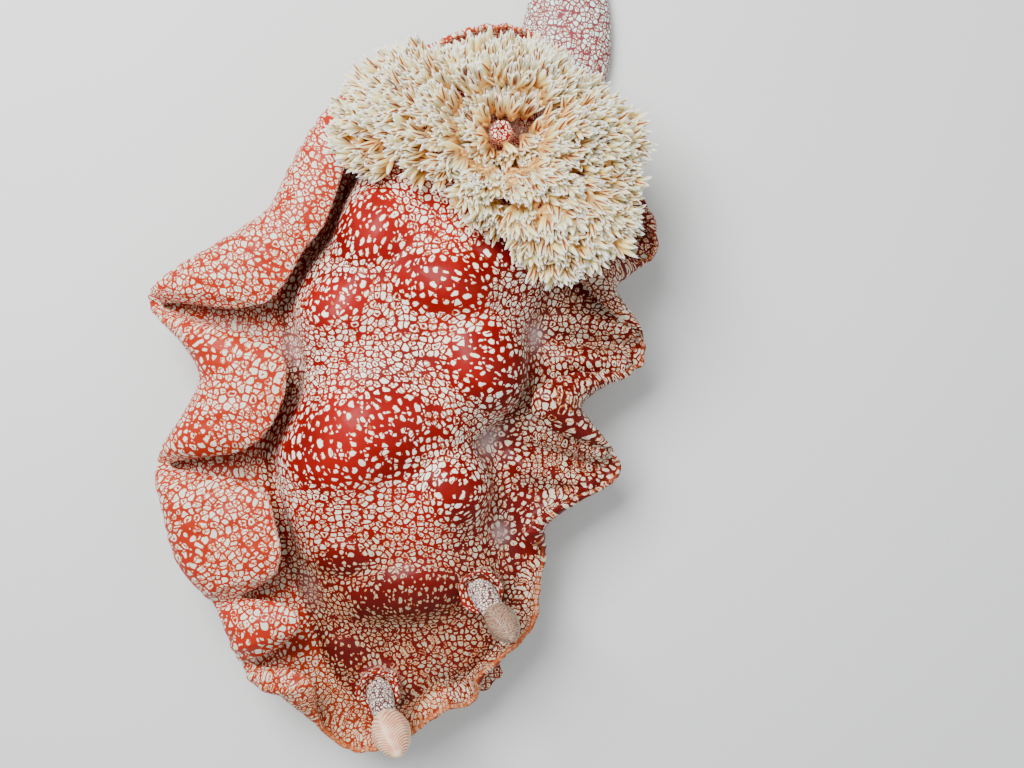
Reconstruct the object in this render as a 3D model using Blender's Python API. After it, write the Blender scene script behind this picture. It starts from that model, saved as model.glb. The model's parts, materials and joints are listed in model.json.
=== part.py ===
"""A crawling Spanish dancer sea slug, life size, in Blender 4.5.

The body is a ring of vertical rays that start on the spine line and run out to the free edge of
the mantle. A ray's profile gives the back, the ruffled frill and the body wall. The nodes are
stretches of that profile, each closed, with a thin gap to the next one.
All sizes are in millimetres until a mesh is made. The head points to -Y, and +Z is up.
"""

import math
import random

import bmesh
import bpy
import numpy as np
from mathutils import Matrix, Vector

MM = 0.001
GAP = 0.3

# The spine line in plan, from the head to the rear end of the mantle.
SPINE = ((7.0, -82.0), (-5.0, -40.0), (-3.5, 5.0), (10.0, 50.0), (41.0, 98.0))
FAN_RUN = 30.0  # length along the rim that stands for each quarter turn at an end
CREST = ((0, 26), (22, 32), (60, 39), (100, 43), (140, 42), (175, 38), (193, 33))
RAYS_PER_SIDE = 80

# The mantle's rim: run from the middle of the head, crease between back and frill, reach of the
# frill, and curl, from 0 for a lobe that spreads to 1 for a roll that lies on the back.
LEFT_RIM = (
    (0, 14, 24, 0.2),
    (5, 14.5, 26.5, 0.0),
    (13, 17, 22, 0.4),
    (20, 20, 27, 0.2),
    (28, 25, 39, 0.0),
    (36, 31, 43, 0.0),
    (46, 34, 48, 0.1),
    (56, 33, 49, 0.5),
    (68, 33, 64, 0.3),
    (78, 35, 76, 0.0),
    (94, 35.5, 79, 0.0),
    (110, 38, 71, 0.5),
    (124, 44, 62, 0.9),
    (135, 43, 67, 0.62),
    (147, 41, 76, 0.2),
    (158, 40, 79.5, 0.02),
    (168, 40, 78, 0.06),
    (179, 38, 70, 0.5),
    (188, 36, 58, 0.9),
    (198, 33, 60, 0.5),
    (210, 31, 64, 0.0),
    (218, 29, 57, 0.3),
    (228, 26, 37, 0.5),
    (240, 21, 26, 0.4),
)
RIGHT_RIM = (
    (0, 14, 24, 0.2),
    (6, 15, 27, 0.2),
    (12, 22, 36, 0.1),
    (19, 28.8, 46, 0.0),
    (25, 30.5, 46, 0.3),
    (31, 32, 51, 0.7),
    (40, 32, 60, 0.2),
    (50, 32, 60, 0.9),
    (60, 33, 63, 0.35),
    (72, 34, 72, 1.0),
    (84, 36, 75, 0.9),
    (91, 38, 77, 0.05),
    (98, 39, 71, 0.45),
    (105, 35, 65.5, 0.85),
    (112, 33, 62.5, 1.0),
    (120, 34, 69, 0.75),
    (128, 37, 87, 0.05),
    (134, 39, 84, 0.3),
    (141, 39, 74, 0.75),
    (149, 38, 63, 1.0),
    (160, 34, 54, 1.0),
    (178, 35, 54, 0.9),
    (196, 35, 51, 0.8),
    (214, 33, 43, 0.5),
    (228, 28, 34, 0.4),
    (240, 22, 28, 0.4),
)
REAR_RIM = (17, 22.5, 0.3)  # crease, reach and curl in the middle of the rear end
RIM_BLUR = 4.5  # how far along the rim its corners are rounded

# Swellings of the back: x, y, height, radius.
SWELLINGS = (
    (-11, 54, 6, 11),
    (19, 37, 8, 12),
    (-24, 27, 7, 10),
    (31, 8, 8, 13),
    (-16, -14, 9, 17),
    (22, -29, 6, 10),
    (5, -57, 6, 15),
    (45, 52, 5, 10),
    (0, 71, 4, 12),
    (-30, -40, 4, 10),
)

ROOT_HEIGHT = ((0, 19), (45, 20), (110, 21), (190, 20), (253, 18.5))
ROOT_THICK = 6.5
EDGE_THICK = 2.0
ROLL_RISE = 19.0  # height of a curled edge above the frill's root
LOBE_RISE = 3.0  # height of a spread edge above the frill's root
EDGE_CLEAR = 2.4  # from the middle of a curled edge to the back

BACK_STEPS = 6
FRILL_STEPS = 5

# Half width of the sole along the rim's run, and the foot's own sizes.
SOLE = ((0, 8), (30, 19), (60, 25), (110, 28), (190, 27), (222, 22), (253, 17))
FOOT_TOP = 5.0
FOOT_FLARE = 4.0
FOOT_EDGE_HEIGHT = 2.5
REAR_FLAT = 13.0  # from the end of the spine to the plane where the tail starts

# The tail behind that plane: middle line in plan, half width and height at shares of its length.
TAIL_LINE = ((49.2, 109.0), (53.4, 118.7), (56.6, 141.8), (57.7, 163.1), (64.1, 189.7))
TAIL_WIDTH = ((0, 15.5), (0.15, 17.2), (0.35, 15.5), (0.65, 10), (0.9, 4.2), (1, 1.6))
TAIL_HEIGHT = ((0, 12.5), (0.4, 11), (0.8, 7), (1, 3))
TAIL_RINGS = 14
TAIL_SIDES = 9  # points over the top, besides the two at the sole

# The snout under the front margin, with its lips and the bosses of the oral tentacles.
SNOUT_REACH = 10.0  # from the head end of the spine to the snout's middle
SNOUT_HEIGHT = 10.2
SNOUT_SIZE = (9.5, 9.0, 4.4)  # half sizes across, forward and up
LIPS_SIZE = (3.6, 1.1)  # ring and thickness radii
TENTACLE_TURN = math.radians(52)
TENTACLE_BOSS = (2.4, 10.5)  # radius, and length from the snout's middle
TENTACLE_LENGTH = 13.0
TENTACLE_SPREAD = 8.0
TENTACLE_LOBES = 5
TENTACLE_THICK = (4.4, 1.4)

# The rhinophores: foot of the stalk, tip, and the club's radius.
RHINOPHORES = {
    "right": ((-8.4, -97.8, 31.0), (0.5, -111.5, 54.0), 6.2),
    "left": ((26.0, -63.5, 34.0), (37.0, -75.5, 52.5), 5.2),
}
SHEATH_RADIUS = 6.4
STALK_RADIUS = 4.3
LAMELLAE = 9
LAMELLA_DEPTH = 0.8
LAMELLA_SLANT = 1.6
RHINOPHORE_SIDES = 12

# The gill ring on the rump: six gills with azimuth in degrees from +X, reach and tip height.
RING = (33.0, 87.0)
RING_RADIUS = 13.0
GILLS = (
    (-10, 46, 47),
    (50, 35, 42),
    (110, 34, 42),
    (168, 57, 48),
    (240, 37, 52),
    (300, 57, 58),
)
GILL_BOSS = (4.3, 41.5)  # radius and height of the flat top
GILL_TRUNK = (3.0, 1.0)  # radius at the root and at the end
GILL_ARCH = 7.0
SECTOR_GAP = 0.25
PAPILLA = (3.6, 47.0)  # radius and height of the top
LEAFLET = (11.5, 3.4, 1.5)  # length, width and thickness
LEAFLET_SPOTS = ((0.6, 1), (0.95, -0.6))  # shares of a stem, and leans to the left of it
TWIGS = (0.34, 0.52, 0.7)  # shares of the trunk where pairs of twigs leave it
TWIG_TURN = math.radians(48)

HEAD_END = 26.0  # stations along the spine where the back is parted
RUMP_START = 150.0
# Runs where each side of the frill is parted, in the middle of a roll.
FRILL_CUTS = {"left": (56.0, 124.0, 188.0), "right": (50.0, 112.0, 160.0)}


def smooth_steps(table, at, column):
    """A table's column at the given places, through a curve that never overshoots its rows."""
    rows = np.array(table, float)
    x = rows[:, 0]
    y = rows[:, column]
    slope = np.diff(y) / np.diff(x)
    tangent = np.zeros(len(x))
    same_way = slope[:-1] * slope[1:] > 0
    mean = 2 * slope[:-1] * slope[1:] / np.where(same_way, slope[:-1] + slope[1:], 1)
    tangent[1:-1] = np.where(same_way, mean, 0)
    at = np.clip(at, x[0], x[-1])
    i = np.clip(np.searchsorted(x, at) - 1, 0, len(x) - 2)
    width = x[i + 1] - x[i]
    t = (at - x[i]) / width
    start = (1 + 2 * t) * (1 - t) ** 2 * y[i] + t * (1 - t) ** 2 * width * tangent[i]
    end = t * t * (3 - 2 * t) * y[i + 1] - t * t * (1 - t) * width * tangent[i + 1]
    return start + end


def natural_curve(points, at):
    """Places and unit tangents of the natural cubic through points, at lengths along its chords."""
    p = np.array(points, float)
    knots = np.concatenate([[0], np.cumsum(np.linalg.norm(np.diff(p, axis=0), axis=1))])
    h = np.diff(knots)
    n = len(p)
    matrix = np.eye(n)
    right = np.zeros((n, p.shape[1]))
    for i in range(1, n - 1):
        matrix[i, i - 1 : i + 2] = h[i - 1], 2 * (h[i - 1] + h[i]), h[i]
        right[i] = 6 * ((p[i + 1] - p[i]) / h[i] - (p[i] - p[i - 1]) / h[i - 1])
    bend = np.linalg.solve(matrix, right)
    at = np.clip(at, 0, knots[-1])
    i = np.clip(np.searchsorted(knots, at) - 1, 0, n - 2)
    d = (at - knots[i])[:, None]
    w = h[i][:, None]
    rise = (p[i + 1] - p[i]) / w - w * (2 * bend[i] + bend[i + 1]) / 6
    place = p[i] + d * rise + d**2 * bend[i] / 2 + d**3 * (bend[i + 1] - bend[i]) / (6 * w)
    tangent = rise + d * bend[i] + d**2 * (bend[i + 1] - bend[i]) / (2 * w)
    return place, tangent / np.linalg.norm(tangent, axis=1)[:, None]


def spine_length():
    return float(np.linalg.norm(np.diff(np.array(SPINE), axis=0), axis=1).sum())


RIM_END = 2 * FAN_RUN + spine_length()


def rim_rows(rim):
    return (*rim, (RIM_END, *REAR_RIM))


class Rays:
    """Rays of one side of the body at the given runs: side is +1 for the animal's left."""

    def __init__(self, side, run):
        self.side = side
        self.run = np.array(run, float)
        rim = rim_rows(LEFT_RIM if side > 0 else RIGHT_RIM)
        blur = RIM_BLUR * np.array((-1, -0.5, 0, 0.5, 1))[:, None]
        blur = blur * np.clip(np.minimum(self.run, RIM_END - self.run) / 10, 0, 1)
        self.crease, self.reach, self.curl = (
            smooth_steps(rim, self.run + blur, column).mean(0) for column in (1, 2, 3)
        )
        self.root = smooth_steps(ROOT_HEIGHT, self.run, 1)
        self.sole = smooth_steps(SOLE, self.run, 1)
        station = np.clip(self.run - FAN_RUN, 0, spine_length())
        self.crest = smooth_steps(CREST, station, 1)
        self.start, along = natural_curve(SPINE, station)
        # The turn is 0 on the flanks, a quarter forward at the head and a quarter back at the rear.
        over_front = np.clip(self.run / FAN_RUN, 0, 1) - 1
        over_rear = np.clip((self.run - FAN_RUN - spine_length()) / FAN_RUN, 0, 1)
        self.turn = (over_front + over_rear) * math.pi / 2
        outward = side * np.stack([along[:, 1], -along[:, 0]], 1)
        self.out = (
            outward * np.cos(self.turn)[:, None] + along * np.sin(self.turn)[:, None]
        )

    def place(self, r, z):
        """Points in space from distances along the rays and heights, both rays by columns."""
        plan = self.start[:, None, :] + r[:, :, None] * self.out[:, None, :]
        return np.concatenate([plan, z[:, :, None]], 2)

    def tail_limit(self):
        """How far each ray may go before it meets the plane where the tail starts."""
        toward = np.maximum(np.sin(self.turn), 1e-3)
        return np.where(self.turn > 0, REAR_FLAT / toward, 1e3)


def swelling(points):
    """Height that the swellings of the back add at points in plan."""
    total = np.zeros(points.shape[:-1])
    for x, y, height, radius in SWELLINGS:
        squared = (points[..., 0] - x) ** 2 + (points[..., 1] - y) ** 2
        total += height * np.exp(-squared / (2 * radius**2))
    return total


def back_profile(rays, steps=BACK_STEPS):
    """The back from the spine to the crease: a quarter ellipse, raised by the swellings."""
    angle = np.linspace(0, math.pi / 2, steps + 1)
    r = rays.crease[:, None] * np.sin(angle)
    low = (rays.root + ROOT_THICK / 2)[:, None]
    z = low + (rays.crest[:, None] - low) * np.cos(angle) ** 0.9
    plan = rays.place(r, z)[..., :2]
    return r, z + swelling(plan) * np.cos(angle) ** 0.5


def bezier(c0, c1, c2, c3, t):
    """A cubic on four control values, each a value for every ray, at the shares t."""
    s = 1 - t
    terms = zip((c0, c1, c2, c3), (s**3, 3 * s**2 * t, 3 * s * t**2, t**3))
    return sum(value[:, None] * weight for value, weight in terms)


def mix(a, b, share):
    return a * (1 - share) + b * share


def frill_middle(rays, t):
    """Points of the frill's middle sheet: a cubic from the crease, straight out where the curl is
    0 and rolled back onto the back where it is 1, scaled so that its reach is the rim's."""
    width = rays.reach - rays.crease
    curl = rays.curl
    # Where the back's quarter ellipse has the height of the curled edge.
    low = rays.root + ROOT_THICK / 2
    share = np.clip((ROLL_RISE - ROOT_THICK / 2) / (rays.crest - low), 0, 0.95)
    back_there = rays.crease * (np.sqrt(1 - share**2) - 1)
    rolled = np.maximum(back_there + EDGE_CLEAR, 1.0 + EDGE_CLEAR * 0.5)
    across = bezier(
        0 * curl,
        width * mix(0.4, 1.33, curl),
        width * mix(0.85, 1.3, curl),
        mix(width, rolled, curl),
        t,
    )
    across = across * np.where(across > 0, (width / across.max(1))[:, None], 1)
    up = bezier(
        rays.root,
        rays.root - mix(4.0, 9.0, curl),
        rays.root + mix(-3.0, ROLL_RISE * 1.45, curl),
        rays.root + mix(LOBE_RISE, ROLL_RISE, curl),
        t,
    )
    return rays.place(rays.crease[:, None] + across, up)


def frill_points(side, runs, steps=FRILL_STEPS):
    """The frill's closed section at each run, from the root over the inner face and back under the
    outer face. The two faces stand off the middle sheet, square to it in the ray's own plane."""
    rays = Rays(side, runs)
    t = np.linspace(0, 1, steps + 1)
    middle = frill_middle(rays, t)
    ahead = frill_middle(rays, np.minimum(t + 0.01, 1))
    behind = frill_middle(rays, np.maximum(t - 0.01, 0))
    tangent = ahead - behind
    tangent = tangent / np.linalg.norm(tangent, axis=2)[:, :, None]
    out = np.append(rays.out, np.zeros((len(runs), 1)), 1)[:, None]
    upright = np.array((0, 0, 1.0))
    rise = tangent[:, :, 2:]
    forth = (tangent * out).sum(2)[:, :, None]
    normal = upright * forth - out * rise
    normal[:, 0] = upright
    half = (mix(ROOT_THICK, EDGE_THICK, t**0.7) / 2)[:, None]
    inner = middle + normal * half
    outer = (middle - normal * half)[:, ::-1]
    points = np.concatenate([inner, outer], 1)
    points[:, 0] += out[:, 0] * GAP
    points[:, -1] += out[:, 0] * GAP
    return points


def core_profile(rays):
    """The back, the side of the body under the frill and the flat over the foot."""
    back_r, back_z = back_profile(rays)
    limit = rays.tail_limit()[:, None]
    crease = rays.crease[:, None]
    foot = rays.sole[:, None]
    ones = np.ones_like(foot)
    under = rays.root[:, None] - ROOT_THICK / 2
    top = FOOT_TOP + GAP
    wall_r = np.concatenate([mix(foot, crease, 0.35), foot, foot * 0.5, foot * 0], 1)
    wall_r = np.minimum(wall_r, limit)
    wall_z = np.concatenate([mix(top, under, 0.8), top * ones, top * ones, top * ones], 1)
    r = np.concatenate([back_r, crease, wall_r], 1)
    return r, np.concatenate([back_z, under, wall_z], 1)


def foot_profile(rays):
    """The foot: a flat top, a flared edge and a flat sole."""
    limit = rays.tail_limit()[:, None]
    width = rays.sole[:, None]
    shares = np.array([0.0, 0.5, 1.0])
    r = np.concatenate(
        [
            width * shares,
            width + FOOT_FLARE,
            width + FOOT_FLARE * 0.6,
            width * shares[1::-1],
        ],
        1,
    )
    z = np.array([FOOT_TOP, FOOT_TOP, FOOT_TOP, FOOT_EDGE_HEIGHT, 0, 0, 0])
    return np.minimum(r, limit), np.tile(z, (len(rays.run), 1))


def grid_mesh(name, blocks, caps, colour, roughness=0.45):
    """An object from blocks of points, rows by columns, joined where they meet and closed by caps.

    Neighbouring rows make triangles. Their diagonal turns over past the fold column, so that the
    two faces of a thin sheet are split alike. A cap is a ring of points that closes an end.
    """
    shape = bmesh.new()
    for points, closed_across, fold in blocks:
        corners = [[shape.verts.new(Vector(p) * MM) for p in row] for row in points]
        columns = points.shape[1]
        last = columns if closed_across else columns - 1
        for upper, lower in zip(corners[:-1], corners[1:]):
            for j in range(last):
                k = (j + 1) % columns
                a, b, c, d = upper[j], upper[k], lower[k], lower[j]
                if j < fold:
                    triangles = (a, b, c), (a, c, d)
                else:
                    triangles = (a, b, d), (b, c, d)
                for triangle in triangles:
                    shape.faces.new(triangle)
    for ring in caps:
        shape.faces.new([shape.verts.new(Vector(p) * MM) for p in ring])
    return close_shape(name, shape, colour, roughness)


def close_shape(name, shape, colour, roughness=0.45):
    """Merges a shape's doubles, turns its faces outwards and makes it an object."""
    bmesh.ops.remove_doubles(shape, verts=shape.verts, dist=0.02 * MM)
    bmesh.ops.dissolve_degenerate(shape, edges=shape.edges, dist=0.005 * MM)
    bmesh.ops.triangulate(shape, faces=[f for f in shape.faces if len(f.verts) > 3])
    bmesh.ops.recalc_face_normals(shape, faces=shape.faces)
    if shape.calc_volume(signed=True) < 0:
        bmesh.ops.reverse_faces(shape, faces=shape.faces)
    mesh = bpy.data.meshes.new(name)
    shape.to_mesh(mesh)
    shape.free()
    mesh.shade_smooth()
    body = bpy.data.objects.new(name, mesh)
    parts.objects.link(body)
    material = bpy.data.materials.new(name)
    material.use_nodes = True
    surface = material.node_tree.nodes["Principled BSDF"]
    surface.inputs["Base Color"].default_value = (*colour, 1)
    surface.inputs["Roughness"].default_value = roughness
    mesh.materials.append(material)
    return body


def tube_points(centres, across, up, widths, heights, sides, phase=0.0):
    """Rings of points round a path: each ring's two half axes have their own size."""
    turn = np.arange(sides) * 2 * math.pi / sides + phase
    wide = across[:, None, :] * (widths[:, None] * np.cos(turn))[:, :, None]
    high = up[:, None, :] * (heights[:, None] * np.sin(turn))[:, :, None]
    return centres[:, None, :] + wide + high


def combine(node, pieces, operation="UNION", solver="EXACT"):
    """One Boolean of all the pieces with a node, applied. The pieces go, and one body is kept."""
    cutters = bpy.data.collections.new("pieces")
    bpy.context.scene.collection.children.link(cutters)
    for piece in pieces:
        parts.objects.unlink(piece)
        cutters.objects.link(piece)
    fuse = node.modifiers.new("fuse", "BOOLEAN")
    fuse.operation = operation
    fuse.operand_type = "COLLECTION"
    fuse.collection = cutters
    fuse.solver = solver
    graph = bpy.context.evaluated_depsgraph_get()
    joined = bpy.data.meshes.new_from_object(node.evaluated_get(graph))
    node.modifiers.clear()
    name = node.data.name
    node.data = joined
    joined.name = name
    for piece in pieces:
        bpy.data.objects.remove(piece)
    bpy.data.collections.remove(cutters)
    keep_largest(joined)


def keep_largest(mesh):
    """Removes every loose surface of a mesh but the largest."""
    shape = bmesh.new()
    shape.from_mesh(mesh)
    bmesh.ops.triangulate(shape, faces=shape.faces)
    bmesh.ops.dissolve_degenerate(shape, edges=shape.edges, dist=0.004 * MM)
    bmesh.ops.dissolve_limit(
        shape, angle_limit=math.radians(0.5), verts=shape.verts, edges=shape.edges
    )
    bmesh.ops.triangulate(shape, faces=shape.faces)
    loose = set(shape.faces)
    largest = []
    while loose:
        group = [loose.pop()]
        for face in group:
            for edge in face.edges:
                for other in edge.link_faces:
                    if other in loose:
                        loose.remove(other)
                        group.append(other)
        if sum(f.calc_area() for f in group) > sum(f.calc_area() for f in largest):
            largest = group
    keep = set(largest)
    bmesh.ops.delete(shape, geom=[f for f in shape.faces if f not in keep], context="FACES")
    bmesh.ops.delete(shape, geom=[v for v in shape.verts if not v.link_faces], context="VERTS")
    bmesh.ops.triangulate(shape, faces=shape.faces)
    shape.to_mesh(mesh)
    shape.free()
    mesh.shade_smooth()


def primitive(name, make, size, matrix):
    """A closed primitive of the bmesh operators, in millimetres, placed by a matrix."""
    shape = bmesh.new()
    make(shape, **size)
    bmesh.ops.transform(shape, matrix=matrix, verts=shape.verts)
    bmesh.ops.scale(shape, vec=(MM, MM, MM), verts=shape.verts)
    return close_shape(name, shape, DEEP_RED)


def post(name, x, y, low, top, radius, top_radius, sides=12):
    """An upright round post with a flat top."""
    size = {
        "cap_ends": True,
        "segments": sides,
        "radius1": radius,
        "radius2": top_radius,
        "depth": top - low,
    }
    place = Matrix.Translation((x, y, (low + top) / 2))
    return primitive(name, bmesh.ops.create_cone, size, place)


RED = (0.48, 0.03, 0.02)
DEEP_RED = (0.36, 0.02, 0.02)
CREAM = (0.86, 0.72, 0.52)
SPECKLED = (0.62, 0.25, 0.18)


def side_runs(first, last):
    """Runs of the rays from first to last, on the same spacing for the whole rim."""
    every = np.linspace(0, RIM_END, RAYS_PER_SIDE + 1)
    inside = every[(every > first + 1.0) & (every < last - 1.0)]
    return np.concatenate([[first], inside, [last]])


def every_other(runs):
    """Every second run, with both ends kept."""
    return np.concatenate([runs[:-1:2], runs[-1:]])


def frill_block(side, runs):
    return frill_points(side, runs), True, FRILL_STEPS


def make_frill(name, side, first, last):
    """A length of frill on one side, closed at both ends."""
    block = frill_block(side, side_runs(first, last))
    return grid_mesh(name, [block], [block[0][0], block[0][-1]], SPECKLED)


def make_end_frill(name, left_runs, right_runs):
    """The frill round the head or the rear end, over both sides."""
    blocks = []
    ends = []
    for side, (first, last) in ((1, left_runs), (-1, right_runs)):
        block = frill_block(side, side_runs(first, last))
        blocks.append(block)
        ends.append(block[0][-1 if first == 0 else 0])
    return grid_mesh(name, blocks, ends, SPECKLED)


def make_core(name, first, last):
    """A length of the back and body, with both sides, between two runs."""
    blocks = []
    for side in (1, -1):
        rays = Rays(side, every_other(side_runs(first, last)))
        blocks.append((rays.place(*core_profile(rays)), False, 0))
    caps = []
    for end, inside in ((0, first > 0), (-1, last < RIM_END)):
        if inside:
            left, right = (block[0][end] for block in blocks)
            caps.append(np.concatenate([left[::-1][:-1], right[:-1]]))
    return grid_mesh(name, blocks, caps, RED)


def make_foot():
    blocks = []
    for side in (1, -1):
        rays = Rays(side, every_other(side_runs(0, RIM_END)))
        blocks.append((rays.place(*foot_profile(rays)), False, 0))
    return grid_mesh("foot", blocks, [], DEEP_RED)


def make_tail():
    """The free end of the foot: rings with a flat sole, from a flat front face to a blunt tip."""
    line = np.array(TAIL_LINE)
    length = float(np.linalg.norm(np.diff(line, axis=0), axis=1).sum())
    share = np.linspace(0, 1, TAIL_RINGS)
    centre, along = natural_curve(TAIL_LINE, share * length)
    end, end_along = natural_curve(SPINE, np.array([spine_length()]))
    along[0] = end_along[0]
    centre[0] = end[0] + end_along[0] * (REAR_FLAT + GAP)
    across = np.stack([along[:, 1], -along[:, 0]], 1)
    width = smooth_steps(TAIL_WIDTH, share, 1)[:, None]
    height = smooth_steps(TAIL_HEIGHT, share, 1)[:, None]
    over = np.linspace(0, math.pi, TAIL_SIDES)
    rim = FOOT_EDGE_HEIGHT * np.minimum(1, height / 6)
    sideways = np.concatenate([width * np.cos(over), -(width - 1.2), width - 1.2], 1)
    z = np.concatenate([rim + (height - rim) * np.sin(over), 0 * width, 0 * width], 1)
    plan = centre[:, None, :] + sideways[:, :, None] * across[:, None, :]
    points = np.concatenate([plan, z[:, :, None]], 2)
    return grid_mesh("tail", [(points, True, 0)], [points[0], points[-1]], SPECKLED)


def head_frame():
    """The head end of the spine, with the directions forward and to the animal's left."""
    start, along = natural_curve(SPINE, np.array([0.0]))
    forward = Vector((-along[0, 0], -along[0, 1], 0))
    left = Vector((along[0, 1], -along[0, 0], 0))
    return Vector((*start[0], 0)), forward, left


def basis(x, y, z, origin):
    """A placing matrix from three directions and an origin."""
    turn = Matrix((x, y, z)).transposed()
    return Matrix.Translation(origin) @ turn.to_4x4()


def ring_mesh(name, major, minor, matrix, around=16, sides=6):
    """A torus on a placing matrix, as a grid that closes both ways."""
    big = np.arange(around + 1) % around * 2 * math.pi / around
    small = np.arange(sides) * 2 * math.pi / sides
    r = major + minor * np.cos(small)[None, :]
    x = r * np.cos(big)[:, None]
    y = r * np.sin(big)[:, None] * 0.75
    z = np.broadcast_to(minor * np.sin(small), x.shape)
    points = [[matrix @ Vector(p) for p in row] for row in np.stack([x, y, z], 2)]
    return grid_mesh(name, [(np.array(points), True, 0)], [], DEEP_RED)


def tentacle_frame(side):
    """Where an oral tentacle leaves its boss, with its outward, sideways and upward directions."""
    start, forward, left = head_frame()
    turn = TENTACLE_TURN * side
    out = forward * math.cos(turn) + left * math.sin(turn)
    across = Vector((-out.y, out.x, 0))
    origin = start + forward * (SNOUT_REACH - 2) + Vector((0, 0, SNOUT_HEIGHT))
    return origin, out, across


def add_face(head):
    """The snout, the lips round the mouth and the tentacles' bosses, fused to the head."""
    start, forward, left = head_frame()
    up = Vector((0, 0, 1))
    middle = start + forward * SNOUT_REACH + up * SNOUT_HEIGHT
    sphere = {"u_segments": 16, "v_segments": 10, "radius": 1}
    size = Matrix.Diagonal((*SNOUT_SIZE, 1))
    place = basis(left, forward, up, middle) @ size
    pieces = [primitive("snout", bmesh.ops.create_uvsphere, sphere, place)]
    face = middle + forward * (SNOUT_SIZE[1] - 0.6)
    pieces.append(ring_mesh("lips", *LIPS_SIZE, basis(left, up, forward, face)))
    radius, length = TENTACLE_BOSS
    for side in (1, -1):
        origin, out, across = tentacle_frame(side)
        boss = {
            "cap_ends": True,
            "segments": 10,
            "radius1": radius,
            "radius2": radius,
            "depth": length,
        }
        place = basis(across, up, out, origin + out * length / 2)
        pieces.append(primitive("boss", bmesh.ops.create_cone, boss, place))
    for (x, y, z), _tip, _radius in RHINOPHORES.values():
        pieces.append(post("sheath", x, y, 12, z, SHEATH_RADIUS, SHEATH_RADIUS))
    combine(head, pieces)
    slit = {"u_segments": 12, "v_segments": 8, "radius": 1}
    size = Matrix.Diagonal((2.2, 1.2, 2.6, 1))
    place = basis(left, up, forward, face + forward * 1.2) @ size
    mouth = primitive("mouth", bmesh.ops.create_uvsphere, slit, place)
    combine(head, [mouth], "DIFFERENCE")


def make_tentacle(side):
    """An oral tentacle: a round root that widens into a flat fan with a scalloped edge."""
    origin, out, across = tentacle_frame(side)
    radius, boss = TENTACLE_BOSS
    share = np.linspace(0, 1, 7)
    turn = np.arange(20) * 2 * math.pi / 20
    width = mix(radius, TENTACLE_SPREAD, np.sin(share * math.pi / 2) ** 1.6)
    thick = mix(TENTACLE_THICK[0], TENTACLE_THICK[1], share**0.6) / 2
    sideways = width[:, None] * np.cos(turn)
    scallop = 1 + 0.1 * np.cos(TENTACLE_LOBES * math.pi * np.cos(turn))
    round_off = 0.32 * np.cos(turn) ** 2
    reach = share[:, None] * (scallop - round_off) * TENTACLE_LENGTH
    lift = 1.5 * share[:, None] ** 2 * np.cos(turn) ** 2
    z = thick[:, None] * np.sin(turn) + lift
    o, a = np.array(out), np.array(across)
    points = np.array(origin) + (boss + GAP + reach)[:, :, None] * o
    points = points + sideways[:, :, None] * a + z[:, :, None] * np.array((0, 0, 1.0))
    word = "left" if side > 0 else "right"
    return grid_mesh(f"oral_tentacle_{word}", [(points, True, 0)], [points[0], points[-1]], RED)


def make_rhinophore(word):
    """A stalk under a club with slanting lamellae, in level rings that lean along its axis."""
    foot, tip, club = RHINOPHORES[word]
    foot = np.array(foot) + np.array((0, 0, GAP))
    tip = np.array(tip)
    rings = [(0.0, STALK_RADIUS * 1.1), (0.12, STALK_RADIUS), (0.26, STALK_RADIUS * 0.85)]
    rings.append((0.36, STALK_RADIUS * 0.85))
    shares = np.linspace(0.42, 0.99, 2 * LAMELLAE)
    for number, share in enumerate(shares):
        swell = math.sin(math.pi * (0.16 + 0.84 * (share - 0.4) / 0.6)) ** 0.6
        rings.append((share, club * swell - LAMELLA_DEPTH * (number % 2)))
    share = np.array([row[0] for row in rings])
    radius = np.maximum(np.array([row[1] for row in rings]), 0.6)
    turn = np.arange(RHINOPHORE_SIDES) * 2 * math.pi / RHINOPHORE_SIDES
    axis = foot + share[:, None] * (tip - foot)
    slant = LAMELLA_SLANT * np.clip((share - 0.3) / 0.3, 0, 1) * np.clip((1 - share) / 0.3, 0, 1)
    x = axis[:, 0, None] + radius[:, None] * np.cos(turn)
    y = axis[:, 1, None] + radius[:, None] * np.sin(turn)
    z = axis[:, 2, None] + slant[:, None] * np.sin(turn)
    points = np.stack([x, y, z], 2)
    return grid_mesh(
        f"rhinophore_{word}", [(points, True, 0)], [points[0], points[-1]], CREAM
    )


def gill_sector(number):
    """Half angles of a gill's sector, up to the bisectors with its neighbours."""
    azimuths = [row[0] for row in GILLS]
    before = azimuths[number - 1] - (360 if number == 0 else 0)
    after = azimuths[(number + 1) % len(GILLS)] + (360 if number == len(GILLS) - 1 else 0)
    own = azimuths[number]
    return math.radians(own - before) / 2, math.radians(after - own) / 2


def unit(v):
    return v / np.linalg.norm(v)


def leaflet(name, root, direction, side, length, width, thick, bend):
    """A flat tapered flap from a sunk root to a pointed tip, bent up along its length."""
    direction, side = unit(direction), unit(side)
    up = unit(np.cross(direction, side))
    share = np.array([-0.1, 0.55, 1.0])
    profile = np.array([0.3, 1.0, 0.0])
    centres = root + share[:, None] * length * direction + (share**2 * bend)[:, None] * up
    points = tube_points(
        centres,
        np.broadcast_to(side, centres.shape),
        np.broadcast_to(up, centres.shape),
        profile * width / 2,
        profile**0.5 * thick / 2,
        4,
    )
    return grid_mesh(name, [(points, True, 0)], [points[0], points[-1]], CREAM)


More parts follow.
